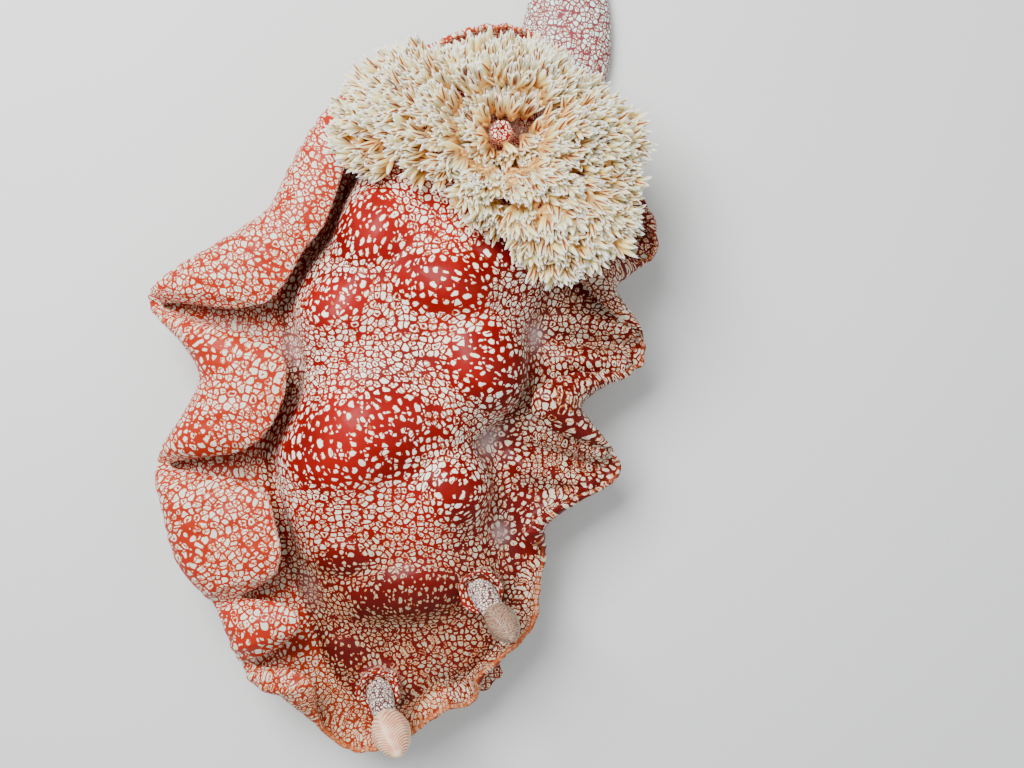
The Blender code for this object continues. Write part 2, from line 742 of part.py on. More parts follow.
def limb(name, centres, start, end, sides, sink):
    """A tapered round stem along a path of points in the gill's upright middle plane."""
    along = np.gradient(centres, axis=0)
    along = along / np.linalg.norm(along, axis=1)[:, None]
    level = np.cross(along, (0, 0, 1.0))
    level = level / np.linalg.norm(level, axis=1)[:, None]
    up = np.cross(level, along)
    centres = centres.copy()
    centres[0] -= along[0] * sink
    size = np.linspace(start, end, len(centres))
    points = tube_points(centres, level, up, size, size, sides)
    return grid_mesh(name, [(points, True, 0)], [points[0], points[-1]], CREAM)


def trunk_path(reach, tip_height, count):
    """The trunk's middle line in its own frame: along the azimuth, across it and up."""
    share = np.linspace(0, 1, count)
    rise = GILL_BOSS[1] + GAP
    along = RING_RADIUS + (0.8 * reach - RING_RADIUS) * share ** 1.35
    height = rise + (tip_height - rise) * share + GILL_ARCH * np.sin(math.pi * share**0.6)
    return np.stack([along, np.zeros(count), height], 1)


def make_gill(number):
    """A gill plume: a trunk, pairs of twigs and leaflets along them, fused and kept in a sector."""
    azimuth, reach, tip_height = GILLS[number]
    path = trunk_path(reach, tip_height, 6)
    # The root is a level ring on the boss, and the others stand across the path.
    along = np.gradient(path, axis=0)
    along = along / np.linalg.norm(along, axis=1)[:, None]
    along[0] = (0, 0, 1)
    level = np.broadcast_to((0.0, 1.0, 0.0), path.shape)
    up = np.cross(along, level)
    size = np.linspace(*GILL_TRUNK, len(path))
    rings = tube_points(path, level, up, size, size, 6)
    trunk = grid_mesh(f"gill_{number + 1}", [(rings, True, 0)], [rings[0], rings[-1]], CREAM)
    pieces = []
    draw = random.Random(number + 11)
    stems = [path[2:]]
    for share in TWIGS:
        for side in (1, -1):
            at = share * (len(path) - 1)
            low = int(at)
            root = path[low] + (at - low) * (path[low + 1] - path[low])
            turn = TWIG_TURN * side * draw.uniform(0.85, 1.15)
            aim = np.array((math.cos(turn), math.sin(turn), draw.uniform(0.15, 0.35)))
            length = (0.22 + 0.2 * share) * reach * draw.uniform(0.9, 1.1)
            t = np.linspace(0, 1, 3)[:, None]
            stem = root + t * length * aim + t**2 * np.array((2.0, 0, -1.5))
            stems.append(stem)
            pieces.append(limb("twig", stem, 1.3, 0.6, 4, 0.5))
    for stem in stems:
        pieces.extend(leaflets_on(stem, draw))
    for piece in (trunk, *pieces):
        place_gill(piece.data, number)
    combine(trunk, pieces)


def leaflets_on(stem, draw):
    """Leaflets along one stem: some up, some to each side, and one at the end."""
    made = []
    axis = unit(stem[-1] - stem[0])
    level = unit(np.cross(axis, (0, 0, 1.0)))
    up = np.cross(level, axis)
    for share, lean in LEAFLET_SPOTS:
        at = share * (len(stem) - 1)
        low = min(int(at), len(stem) - 2)
        root = stem[low] + (at - low) * (stem[low + 1] - stem[low])
        lean = lean * draw.uniform(0.5, 0.9)
        aim = axis + lean * level + draw.uniform(0.35, 0.7) * up
        length, width, thick = (value * draw.uniform(0.9, 1.15) for value in LEAFLET)
        side = unit(np.cross(aim, up + 0.4 * lean * level))
        made.append(leaflet("leaflet", root, aim, side, length, width, thick, 1.2))
    return made


def place_gill(mesh, number):
    """Squeezes a plume into its sector and turns it to its azimuth round the ring."""
    azimuth = math.radians(GILLS[number][0])
    clockwise, counter = gill_sector(number)
    count = len(mesh.vertices)
    flat = np.empty(count * 3)
    mesh.vertices.foreach_get("co", flat)
    p = flat.reshape(count, 3) / MM
    half = np.where(p[:, 1] > 0, counter, clockwise)
    room = p[:, 0] * np.tan(half) - SECTOR_GAP / np.cos(half)
    across = room * np.tanh(p[:, 1] / room)
    x = RING[0] + p[:, 0] * math.cos(azimuth) - across * math.sin(azimuth)
    y = RING[1] + p[:, 0] * math.sin(azimuth) + across * math.cos(azimuth)
    placed = np.stack([x, y, p[:, 2]], 1) * MM
    mesh.vertices.foreach_set("co", placed.ravel())
    mesh.update()


def add_gill_seats(rump):
    """A flat-topped boss for each gill, and the anal papilla in the middle of the ring."""
    radius, top = GILL_BOSS
    seats = []
    for azimuth, _reach, _height in GILLS:
        x = RING[0] + RING_RADIUS * math.cos(math.radians(azimuth))
        y = RING[1] + RING_RADIUS * math.sin(math.radians(azimuth))
        seats.append(post("seat", x, y, 25, top, radius * 1.2, radius, 10))
    seats.append(post("papilla", *RING, 25, PAPILLA[1], PAPILLA[0] * 1.3, PAPILLA[0], 10))
    combine(rump, seats)


for leftover in list(bpy.data.objects):
    bpy.data.objects.remove(leftover)
parts = bpy.data.collections.new("spanish_dancer")
bpy.context.scene.collection.children.link(parts)

half = GAP / 2
head_end = FAN_RUN + HEAD_END
rump_start = FAN_RUN + RUMP_START
add_face(make_core("head", 0, head_end - half))
make_core("back", head_end + half, rump_start - half)
add_gill_seats(make_core("rump", rump_start + half, RIM_END))
make_foot()
make_tail()
make_end_frill("frill_front", *((0, cuts[0] - half) for cuts in FRILL_CUTS.values()))
for side, word in ((1, "left"), (-1, "right")):
    fore, middle, hind = FRILL_CUTS[word]
    make_frill(f"frill_{word}_fore", side, fore + half, middle - half)
    make_frill(f"frill_{word}_hind", side, middle + half, hind - half)
    make_tentacle(side)
    make_rhinophore(word)
make_end_frill("frill_rear", *((cuts[2] + half, RIM_END) for cuts in FRILL_CUTS.values()))
for number in range(len(GILLS)):
    make_gill(number)
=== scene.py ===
"""A Spanish dancer sea slug as a life-size museum model, dressed for the camera.

One skin is worked out on rays that leave the spine line and run over the back, out along the
ruffled frill, back under it and down to the sole. The tail, the snout with its lips, the oral
tentacles and the sheaths are fused to it. The gills and rhinophores are pieces of their own.
Lengths are in millimetres until they go into a mesh. The head points to -Y, and +Z is up.
"""

import json
import math

import bmesh
import bpy
import numpy as np
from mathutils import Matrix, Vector, kdtree

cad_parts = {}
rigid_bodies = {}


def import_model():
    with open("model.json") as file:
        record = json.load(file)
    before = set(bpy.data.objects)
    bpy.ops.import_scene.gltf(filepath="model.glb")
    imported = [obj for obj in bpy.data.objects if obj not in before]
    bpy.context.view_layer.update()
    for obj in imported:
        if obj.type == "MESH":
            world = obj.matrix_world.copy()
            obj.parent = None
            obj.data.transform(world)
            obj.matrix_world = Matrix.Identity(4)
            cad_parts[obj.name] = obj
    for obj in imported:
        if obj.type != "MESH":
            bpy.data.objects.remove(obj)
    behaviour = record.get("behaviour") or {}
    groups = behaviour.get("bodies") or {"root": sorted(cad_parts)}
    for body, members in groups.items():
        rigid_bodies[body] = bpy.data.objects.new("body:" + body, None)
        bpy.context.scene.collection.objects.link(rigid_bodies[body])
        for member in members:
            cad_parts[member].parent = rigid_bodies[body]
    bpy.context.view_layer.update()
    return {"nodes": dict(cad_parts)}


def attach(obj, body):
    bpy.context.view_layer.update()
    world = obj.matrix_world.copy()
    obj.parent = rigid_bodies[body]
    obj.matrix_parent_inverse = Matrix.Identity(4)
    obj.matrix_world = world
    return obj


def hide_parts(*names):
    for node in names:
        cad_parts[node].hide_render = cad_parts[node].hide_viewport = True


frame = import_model()

MM = 0.001
UP = np.array((0, 0, 1.0))

# The camera looks straight down on the animal from this place.
CAMERA_PLACE = (36.4, 5.44, 412.0)
CAMERA_LENS = 40.0
FLOOR_HALF = 1500

# The spine line in plan, from the head to the rear end of the mantle.
SPINE = ((7.0, -82.0), (-5.0, -40.0), (-3.5, 5.0), (10.0, 50.0), (41.0, 98.0))
FAN_RUN = 30.0  # length along the rim that stands for each quarter turn at an end
CREST = ((0, 26), (22, 32), (60, 39), (100, 43), (140, 42), (175, 38), (193, 33))

# The mantle's rim: run from the middle of the head, crease between back and frill, reach of the
# frill, and curl, from 0 for a lobe that spreads to 1 for a roll that lies on the back.
LEFT_RIM = (
    (0, 14, 24, 0.2),
    (5, 14.5, 26.5, 0.0),
    (13, 17, 22, 0.4),
    (20, 20, 27, 0.2),
    (28, 25, 39, 0.0),
    (36, 31, 43, 0.0),
    (46, 34, 48, 0.1),
    (56, 33, 49, 0.5),
    (68, 33, 64, 0.3),
    (78, 35, 76, 0.0),
    (92, 33.5, 79, 0.0),
    (100, 30, 77, 0.1),
    (110, 35, 71, 0.5),
    (124, 44, 62, 0.9),
    (135, 43, 67, 0.62),
    (147, 41, 76, 0.2),
    (158, 40, 79.5, 0.02),
    (168, 40, 78, 0.06),
    (179, 38, 70, 0.5),
    (188, 36, 58, 0.9),
    (198, 33, 60, 0.5),
    (210, 31, 64, 0.0),
    (218, 29, 57, 0.3),
    (228, 26, 36, 0.35),
    (240, 21, 26, 0.2),
)
RIGHT_RIM = (
    (0, 14, 24, 0.2),
    (6, 15, 27, 0.2),
    (12, 22, 36, 0.1),
    (19, 28.8, 46, 0.0),
    (25, 30.5, 46, 0.3),
    (31, 32, 51, 0.75),
    (38, 32, 59, 0.6),
    (42, 32, 60, 0.2),
    (47, 32, 60, 0.8),
    (52, 32, 60, 0.95),
    (57, 32.5, 61, 0.8),
    (60.5, 33, 63, 0.35),
    (64, 33.5, 65, 0.85),
    (72, 34, 71, 1.0),
    (84, 36, 74, 1.0),
    (89, 37.5, 76.5, 0.65),
    (91.5, 38, 77, 0.05),
    (94, 38.5, 75, 0.65),
    (98, 37.5, 71, 0.92),
    (105, 34.5, 65.5, 1.0),
    (112, 32.5, 62.5, 1.0),
    (120, 33.5, 69, 1.0),
    (125.5, 35.5, 80, 0.75),
    (128.5, 37, 87, 0.05),
    (131, 38, 85.5, 0.6),
    (136, 39, 80, 0.9),
    (149, 38, 63, 1.0),
    (160, 34, 54, 1.0),
    (178, 35, 54, 0.9),
    (196, 35, 51, 0.8),
    (214, 33, 43, 0.5),
    (228, 28, 34, 0.3),
    (240, 22, 28, 0.2),
)
REAR_RIM = (17, 22.5, 0.15)
RIM_BLUR = 1.6  # how far along the rim its corners are rounded
PLEAT_PITCH = 6.5
PLEAT_HEIGHT = 0.45

# Swellings of the back: x, y, height, radius.
SWELLINGS = (
    (-11, 54, 6, 11),
    (19, 37, 8, 12),
    (-24, 27, 7, 10),
    (31, 8, 8, 13),
    (-16, -14, 9, 17),
    (22, -29, 6, 10),
    (5, -57, 6, 15),
    (45, 52, 5, 10),
    (0, 71, 4, 12),
    (-30, -40, 4, 10),
)

# Knobs that the skin adds to them, where its colour is deep red: x, y, half width, half length,
# turn in degrees, height, redness.
KNOBS = (
    (15.5, 38.5, 17, 9.5, -5, 1.8, 1.0),
    (-12.0, 56.0, 12, 12, 0, 1.5, 0.85),
    (-21.0, 31.5, 14, 11, 20, 1.2, 0.6),
    (29.0, 10.0, 13.5, 13.5, 0, 2.0, 0.9),
    (-15.0, -12.0, 27, 15, 14, 2.0, 1.0),
    (19.0, -31.5, 11, 12, 0, 1.8, 0.65),
    (3.0, -64.0, 24, 9, 8, 1.5, 0.75),
    (36.0, 51.0, 11, 10, 0, 1.0, 0.8),
    (-21.5, -87.0, 12, 6, -20, 1.0, 0.5),
    (40.0, -42.0, 8, 12, 10, 1.2, 0.75),
    (-22.0, -52.0, 11, 6, 0, 1.0, 0.5),
    (66.0, -27.0, 12, 5, 25, 0.0, 0.6),
    (60.0, 12.0, 9, 5, 20, 0.0, 0.5),
)

# Folds of the left frill: where each starts at the back, where its tip is, how high the skin is
# puffed up on both sides of it, and how far apart the two sides are at the start.
FOLDS = (
    (42.5, 22.8, 86.0, 16.7, 5.5, 8.0),
    (34.0, -13.0, 78.0, -27.0, 5.5, 8.0),
    (60.0, 60.0, 92.0, 55.0, 4.0, 6.0),
)

# Places where pale crevice skin shows beside the back: x, y, radius. At the first one the pale patch is
# also a painted sheen of mucus over the start of the fold.
CREVICES = ((42, 22, 4.5), (27, -13, 5), (33, -45, 3.5), (-34, 18, 6), (-27, -62, 6), (-31, -32, 5))

ROOT_HEIGHT = ((0, 19), (45, 20), (110, 21), (190, 20), (253, 18.5))
ROOT_THICK = 6.5
EDGE_THICK = 1.7
ROLL_RISE = 19.0
LOBE_RISE = 3.0
EDGE_CLEAR = 1.7

SOLE = ((0, 8), (30, 19), (60, 25), (110, 28), (190, 27), (222, 22), (253, 17))
FOOT_TOP = 5.0
FOOT_FLARE = 4.0
FOOT_EDGE_HEIGHT = 2.5
REAR_FLAT = 13.0

RAYS = 270  # rays on each side of the skin
BACK_STEPS = 36
FRILL_STEPS = 38
EDGE_STEPS = 4
WALL_STEPS = 12
SOFT_ROUNDS = 12  # rounds of averaging that round the crease and the frill's root
JOIN_ROUNDS = 14  # and those that blend the fused flesh into the skin
# Columns of the crease, the middle of the frill's edge, and the frill's lower root.
CREASE_AT = BACK_STEPS
EDGE_AT = BACK_STEPS + FRILL_STEPS + EDGE_STEPS // 2
ROOT_AT = BACK_STEPS + 2 * FRILL_STEPS + EDGE_STEPS + 1

# Sizes of the patterns in millimetres: how far apart the spots of the back, the cracks in them and
# the fine dots between them are, and the size of the skin's soft and fine unevenness.
SPOTS_APART = 2.3256
CRACKS_APART = 1.3889
DOTS_APART = 0.86957
SPOT_WOBBLE = 1.9231
SPOT_CROWDS = 12.5
RED_CLOUDS = 25.0
SKIN_GRAIN = 1.1111
STALK_MOTTLES = 1.1111
CLUB_SPECKS = 0.66667
CLUB_CLOUDS = 3.3333

TAIL_LINE = ((49.2, 109.0), (53.4, 118.7), (56.6, 141.8), (57.7, 163.1), (64.1, 189.7))
TAIL_WIDTH = ((0, 15.5), (0.15, 17.2), (0.35, 15.5), (0.65, 10), (0.9, 4.2), (1, 1.6))
TAIL_HEIGHT = ((0, 12.5), (0.4, 11), (0.8, 7), (1, 3))

FACE_DEPTH = 0.6  # how far the lips are sunk into the snout
SNOUT_REACH = 10.0
SNOUT_HEIGHT = 10.2
SNOUT_SIZE = (9.5, 9.0, 4.4)
LIPS_SIZE = (3.6, 1.1)
MOUTH_SIZE = (2.2, 1.2, 2.6)
TENTACLE_TURN = math.radians(52)
TENTACLE_ROOT = (2.4, 6.0)  # radius, and how far from the snout's middle the tentacle starts
TENTACLE_LENGTH = 18.0
TENTACLE_SPREAD = 8.0
TENTACLE_LOBES = 2.5
TENTACLE_THICK = (4.4, 1.2)

RHINOPHORES = {
    "right": ((-8.4, -97.8, 31.0), (0.5, -111.5, 54.0), 6.2),
    "left": ((26.0, -63.5, 34.0), (37.0, -75.5, 52.5), 5.2),
}
SHEATH_RADIUS = 6.4
STALK_RADIUS = 4.3
CLUB_SHARE = 0.58  # the club's share of a rhinophore's length
LAMELLAE = 17
LAMELLA_DEPTH = 0.6
LAMELLA_SLANT = 0.26  # how far along the axis a lamella drops towards the upper side

RING = (33.0, 87.0)
RING_RADIUS = 13.0
GILLS = (
    (-10, 46, 47),
    (50, 35, 42),
    (110, 34, 42),
    (168, 57, 48),
    (240, 37, 52),
    (300, 57, 58),
)
# How far the gills reach from the ring's middle, by azimuth.
GILL_REACH = (
    (-28, 51),
    (-15, 48),
    (0, 48),
    (15, 42),
    (30, 37),
    (60, 34),
    (90, 34),
    (120, 35),
    (135, 42),
    (150, 50),
    (165, 55),
    (180, 57),
    (195, 50),
    (203, 40),
    (212, 29),
    (222, 24),
    (235, 27),
    (250, 35),
    (262, 37),
    (272, 39),
    (282, 48),
    (290, 54),
    (305, 57),
    (320, 57),
    (332, 51),
)
GILL_TOP = 41.5
GILL_ARCH = 7.0
PAPILLA = (3.6, 47.0)
LEAFLET = (8.4, 2.0, 0.85)  # length, width, thickness
GILL_SPAN = 54.0
PATCH_SIZE = 0.003  # share of the map for each leaflet or stem
HAND_AREA = 6.5  # square millimetres of a gill's plan for each hand of leaflets
THATCH_DEPTH = 3.5  # how far below the highest hands the lowest ones start
TUFT_REACH = 24.0  # how far from the ring's middle the hands still stand on the trunk
BRANCH_PAIRS = 9


def smooth_steps(table, at, column):
    """A table's column at the given places, through a curve that never overshoots its rows."""
    rows = np.array(table, float)
    x = rows[:, 0]
    y = rows[:, column]
    slope = np.diff(y) / np.diff(x)
    tangent = np.zeros(len(x))
    same_way = slope[:-1] * slope[1:] > 0
    mean = 2 * slope[:-1] * slope[1:] / np.where(same_way, slope[:-1] + slope[1:], 1)
    tangent[1:-1] = np.where(same_way, mean, 0)
    at = np.clip(at, x[0], x[-1])
    i = np.clip(np.searchsorted(x, at) - 1, 0, len(x) - 2)
    width = x[i + 1] - x[i]
    t = (at - x[i]) / width
    start = (1 + 2 * t) * (1 - t) ** 2 * y[i] + t * (1 - t) ** 2 * width * tangent[i]
    end = t * t * (3 - 2 * t) * y[i + 1] - t * t * (1 - t) * width * tangent[i + 1]
    return start + end


def natural_curve(points, at):
    """Places and unit tangents of the natural cubic through points, at lengths along its chords."""
    p = np.array(points, float)
    knots = np.concatenate([[0], np.cumsum(np.linalg.norm(np.diff(p, axis=0), axis=1))])
    h = np.diff(knots)
    n = len(p)
    matrix = np.eye(n)
    right = np.zeros((n, p.shape[1]))
    for i in range(1, n - 1):
        matrix[i, i - 1 : i + 2] = h[i - 1], 2 * (h[i - 1] + h[i]), h[i]
        right[i] = 6 * ((p[i + 1] - p[i]) / h[i] - (p[i] - p[i - 1]) / h[i - 1])
    bend = np.linalg.solve(matrix, right)
    at = np.clip(at, 0, knots[-1])
    i = np.clip(np.searchsorted(knots, at) - 1, 0, n - 2)
    d = (at - knots[i])[:, None]
    w = h[i][:, None]
    rise = (p[i + 1] - p[i]) / w - w * (2 * bend[i] + bend[i + 1]) / 6
    place = p[i] + d * rise + d**2 * bend[i] / 2 + d**3 * (bend[i + 1] - bend[i]) / (6 * w)
    tangent = rise + d * bend[i] + d**2 * (bend[i + 1] - bend[i]) / (2 * w)
    return place, tangent / np.linalg.norm(tangent, axis=1)[:, None]


def chord_length(points):
    return float(np.linalg.norm(np.diff(np.array(points), axis=0), axis=1).sum())


SPINE_LENGTH = chord_length(SPINE)
RIM_END = 2 * FAN_RUN + SPINE_LENGTH


def mix(a, b, share):
    return a * (1 - share) + b * share


def step(low, high, value):
    """0 below low, 1 above high and a smooth ramp between."""
    t = np.clip((value - low) / (high - low), 0, 1)
    return t * t * (3 - 2 * t)


def unit(v):
    return v / np.maximum(np.linalg.norm(v, axis=-1, keepdims=True), 1e-9)


def ripple(points, wavelength, seed):
    """Soft noise from -1 to 1: the mean of sine waves that cross the points in seeded directions."""
    draw = np.random.default_rng(seed)
    total = np.zeros(points.shape[:-1])
    for _ in range(9):
        way = unit(draw.normal(size=3)) * 2 * math.pi / wavelength / draw.uniform(0.7, 1.5)
        total += np.sin(points @ way + draw.uniform(0, 2 * math.pi))
    return total / 3


def around(count):
    """Angles evenly spaced round a circle, the last one short of the first."""
    return np.linspace(0, 2 * math.pi, count, endpoint=False)


def turned(x, y, r, z):
    """Rings round an upright axis, from radii and heights by ring and angle."""
    turn = around(r.shape[1])
    return np.stack([x + r * np.cos(turn), y + r * np.sin(turn), z + 0 * r], 2)


def squared_from(points, x, y):
    """Squared distances in plan from a place."""
    return (points[..., 0] - x) ** 2 + (points[..., 1] - y) ** 2


class Rays:
    """Rays of one side of the body at the given runs: side is +1 for the animal's left."""

    def __init__(self, side, run):
        self.side = side
        self.run = np.array(run, float)
        rim = (*(LEFT_RIM if side > 0 else RIGHT_RIM), (RIM_END, *REAR_RIM))
        blur = RIM_BLUR * np.array((-1, -0.5, 0, 0.5, 1))[:, None]
        blur = blur * np.clip(np.minimum(self.run, RIM_END - self.run) / 10, 0, 1)
        self.crease, self.reach, self.curl = (
            smooth_steps(rim, self.run + blur, column).mean(0) for column in (1, 2, 3)
        )
        self.root = smooth_steps(ROOT_HEIGHT, self.run, 1)
        self.sole = smooth_steps(SOLE, self.run, 1)
        station = np.clip(self.run - FAN_RUN, 0, SPINE_LENGTH)
        self.crest = smooth_steps(CREST, station, 1)
        self.start, along = natural_curve(SPINE, station)
        over_front = np.clip(self.run / FAN_RUN, 0, 1) - 1
        over_rear = np.clip((self.run - FAN_RUN - SPINE_LENGTH) / FAN_RUN, 0, 1)
        self.turn = (over_front + over_rear) * math.pi / 2
        outward = side * np.stack([along[:, 1], -along[:, 0]], 1)
        out = outward * np.cos(self.turn)[:, None] + along * np.sin(self.turn)[:, None]
        self.out = np.append(out, np.zeros((len(self.run), 1)), 1)

    def place(self, r, z):
        """Points in space from distances along the rays and heights, both rays by columns."""
        plan = self.start[:, None, :] + r[:, :, None] * self.out[:, None, :2]
        return np.concatenate([plan, z[:, :, None]], 2)


def swelling(points):
    """Height that the swellings of the back add: a Gaussian bell for each."""
    total = np.zeros(points.shape[:-1])
    for x, y, height, radius in SWELLINGS:
        total += height * np.exp(-squared_from(points, x, y) / (2 * radius**2))
    return total


def knobs(points):
    """Height and redness of the knobs: each is flat-topped, exp(-d^4) of its ellipse."""
    height = np.zeros(points.shape[:-1])
    redness = np.zeros(points.shape[:-1])
    for x, y, wide, long, turn, rise, red in KNOBS:
        c, s = math.cos(math.radians(turn)), math.sin(math.radians(turn))
        dx, dy = points[..., 0] - x, points[..., 1] - y
        across, along = (c * dx + s * dy) / wide, (c * dy - s * dx) / long
        squared = across**2 + along**2
        height = np.maximum(height, rise * np.exp(-(squared**2)))
        redness = np.maximum(redness, red * np.exp(-(squared**1.4)))
    return height, redness


def folds(points):
    """Lift of the frill along its folds: a Gaussian bell on each side of a line in plan, narrower
    to its tip, less a narrow one on the line itself, which leaves a groove."""
    total = np.zeros(points.shape[:-1])
    for x, y, tip_x, tip_y, height, apart in FOLDS:
        way = np.array((tip_x - x, tip_y - y))
        length = np.hypot(*way)
        from_start = points[..., :2] - (x, y)
        along = from_start @ way / length**2
        across = np.abs(from_start @ np.array((way[1], -way[0]))) / length
        half = apart * mix(1, 0.6, np.clip(along, 0, 1))
        bell = np.exp(-(((across - half) / (0.75 * half)) ** 2))
        groove = 0.3 * np.exp(-((across / 1.5) ** 2))
        total += height * (bell - groove) * step(-0.1, 0.2, along) * (1 - step(0.85, 1.1, along))
    return total


def back_surface(rays):
    """The back from the spine to the crease: a quarter ellipse, raised by the swellings."""
    angle = np.linspace(0, math.pi / 2, BACK_STEPS + 1)
    r = rays.crease[:, None] * np.sin(angle)
    low = (rays.root + ROOT_THICK / 2)[:, None]
    z = low + (rays.crest[:, None] - low) * np.cos(angle) ** 0.9
    place = rays.place(r, z)
    height, redness = knobs(place)
    rise = swelling(place) + 2.6 * (height - 0.7)
    # Near the crease the knobs stand out over it, further where no roll lies beside them.
    free = 4.0 + 3.0 * (1 - rays.curl) * (rays.side > 0)
    out = (free[:, None] * redness + 1.2 * ripple(place, 30, 6) - 0.8) * np.sin(angle) ** 4
    out = out * (1 - step(0.86, 1.0, angle * 2 / math.pi))
    return rays.place(r + out, z + rise * np.cos(angle) ** 0.5)


def bezier(c0, c1, c2, c3, t):
    """A cubic on four control values, each a value for every ray, at the shares t."""
    s = 1 - t
    terms = zip((c0, c1, c2, c3), (s**3, 3 * s**2 * t, 3 * s * t**2, t**3))
    return sum(value[:, None] * weight for value, weight in terms)


def frill_middle(rays, t):
    """The frill's middle sheet: a cubic from the crease, straight out where the curl is 0 and
    rolled back onto the back where it is 1, scaled so that its reach is the rim's."""
    width = rays.reach - rays.crease
    curl = rays.curl
    low = rays.root + ROOT_THICK / 2
    share = np.clip((ROLL_RISE - ROOT_THICK / 2) / (rays.crest - low), 0, 0.95)
    back_there = rays.crease * (np.sqrt(1 - share**2) - 1)
    rolled = np.maximum(back_there + EDGE_CLEAR, 1.0 + EDGE_CLEAR * 0.5)
    across = bezier(
        0 * curl,
        width * mix(0.4, 1.33, curl),
        width * mix(0.85, 1.3, curl),
        mix(width, rolled, curl),
        t,
    )
    across = across * np.where(across > 0, (width / across.max(1))[:, None], 1)
    up = bezier(
        rays.root,
        rays.root - mix(4.0, 9.0, curl),
        rays.root + mix(-3.0, ROLL_RISE * 1.45, curl),
        rays.root + mix(LOBE_RISE, ROLL_RISE, curl),
        t,
    )
    return rays.place(rays.crease[:, None] + across, up)


def frill_frame(rays, t):
    """The middle sheet with its unit tangents along the ray and its upward normals.

    The normal is the cross product of the sheet's own two directions, and the ray's own plane
    gives it at both ends of a side, where the sides meet."""
    middle = frill_middle(rays, t)
    tangent = unit(frill_middle(rays, t + 0.01) - frill_middle(rays, t - 0.01))
    out = rays.out[:, None]
    flat = UP * (tangent * out).sum(2)[:, :, None] - out * tangent[:, :, 2:]
    along = np.gradient(middle, axis=0)
    true = unit(np.cross(tangent, along) * rays.side)
    ends = np.minimum(np.arange(len(rays.run)), np.arange(len(rays.run))[::-1])
    share = np.clip(ends / 8, 0, 1)[:, None, None]
    normal = unit(mix(flat, true, share * 0.75))
    normal = mix(UP, normal, step(0, 0.08, t)[:, None])
    return middle, tangent, unit(normal)


def even_runs(count):
    """Runs of the rays, closer together where either frill's edge moves fast along the rim."""
    fine = np.linspace(0, RIM_END, 3000)
    edges = [frill_middle(Rays(side, fine), np.array([0.6, 1.0])) for side in (1, -1)]
    pace = sum(np.linalg.norm(np.diff(edge, axis=0), axis=2).mean(1) for edge in edges) / 2
    pace = 0.8 + np.clip(pace / (fine[1] - fine[0]), 0, 12) * 0.6
    passed = np.concatenate([[0], np.cumsum(pace)])
    return np.interp(np.linspace(0, passed[-1], count), passed, fine)


def frill_grid(rays):
    """The frill's upper face, edge and lower face: half its thickness along the normals to both
    sides of its middle sheet, which has shallow pleats out to the edge, and the folds."""
    t = np.linspace(0, 1, FRILL_STEPS + 1) ** 0.9
    middle, tangent, normal = frill_frame(rays, t)
    half = mix(ROOT_THICK, EDGE_THICK, t**0.7)[:, None] / 2
    arc = arc_lengths(middle, 0)[:, FRILL_STEPS // 2, None]
    phase = arc * 2 * math.pi / PLEAT_PITCH + 2.2 * ripple(middle, 30, 5)
    pleat = PLEAT_HEIGHT * step(0.15, 0.9, t) * np.sin(phase) * (0.6 + 0.5 * ripple(middle, 25, 9))
    pleat = pleat * step(0, 6, np.minimum(rays.run, RIM_END - rays.run))[:, None]
    lift = folds(middle) * step(0.02, 0.25, t) * (1 - step(0.72, 0.98, t)) * (rays.side > 0)
    pleat = pleat * (1 - 0.8 * np.clip(lift / 3, 0, 1))
    middle = middle + normal * pleat[:, :, None] + lift[:, :, None] * UP
    turn = np.linspace(0, math.pi, EDGE_STEPS + 2)[1:-1][None, :, None]
    rim = half[-1] * (normal[:, -1:] * np.cos(turn) + tangent[:, -1:] * np.sin(turn) * 1.1)
    upper = (middle + normal * half)[:, 1:]
    lower = (middle - normal * half)[:, ::-1]
    return np.concatenate([upper, middle[:, -1:] + rim, lower], 1)


def underside(rays):
    """Down the body's side from the frill's root, round the foot's flared edge and along the sole
    to the spine. At the rear, where the tail goes on, all of it is cut off square."""
    crease, foot = rays.crease[:, None], rays.sole[:, None]
    limit = np.where(rays.turn > 0, REAR_FLAT / np.maximum(np.sin(rays.turn), 1e-3), 1e3)[:, None]
    down = np.linspace(0, 1, WALL_STEPS + 2)[1:-1]
    wall_r = np.minimum(foot + (crease - foot) * (1 - down) ** 2.2, mix(crease, limit, down))
    wall_z = mix(rays.root[:, None] - ROOT_THICK / 2, FOOT_TOP, down)
    edge_r = foot + FOOT_FLARE * np.array((0.35, 0.75, 0.97, 0.95, 0.6))
    edge_z = np.array((FOOT_TOP, 4.3, 3.2, 1.2, 0.0)) + 0 * foot
    sole_r = foot * np.linspace(1, 0, 7)
    foot_r = np.minimum(np.concatenate([edge_r, sole_r], 1), limit)
    return rays.place(
        np.concatenate([wall_r, foot_r], 1), np.concatenate([wall_z, edge_z, 0 * sole_r], 1)
    )


def skin_half(side):
    """One side of the skin as a grid, rays by columns, with its painting values and its rays.

    Columns run over the back, out on the frill's upper face, round its edge, back on the lower
    face, down the body's side, round the foot and along the sole to the spine."""
    rays = Rays(side, even_runs(RAYS))
    points = soften(np.concatenate([back_surface(rays), frill_grid(rays), underside(rays)], 1))
    return points, paint(points, rays), rays


def soften(points):
    """Rounds the crease and the frill's lower root: rounds of averaging with the four neighbours."""
    column = np.arange(points.shape[1])
    near = 0.6 * np.exp(-(((column - CREASE_AT) / 2.0) ** 2))
    near = near + np.exp(-(((column - ROOT_AT) / 4.0) ** 2))
    near = near + 0.6 * (column > ROOT_AT) * (column < ROOT_AT + WALL_STEPS + 3)
    weight = np.clip(near, 0, 0.9)[None, 1:-1, None]
    for _ in range(SOFT_ROUNDS):
        total = points[:-2, 1:-1] + points[2:, 1:-1] + points[1:-1, :-2] + points[1:-1, 2:]
        points[1:-1, 1:-1] = mix(points[1:-1, 1:-1], total / 4, weight)
    return points


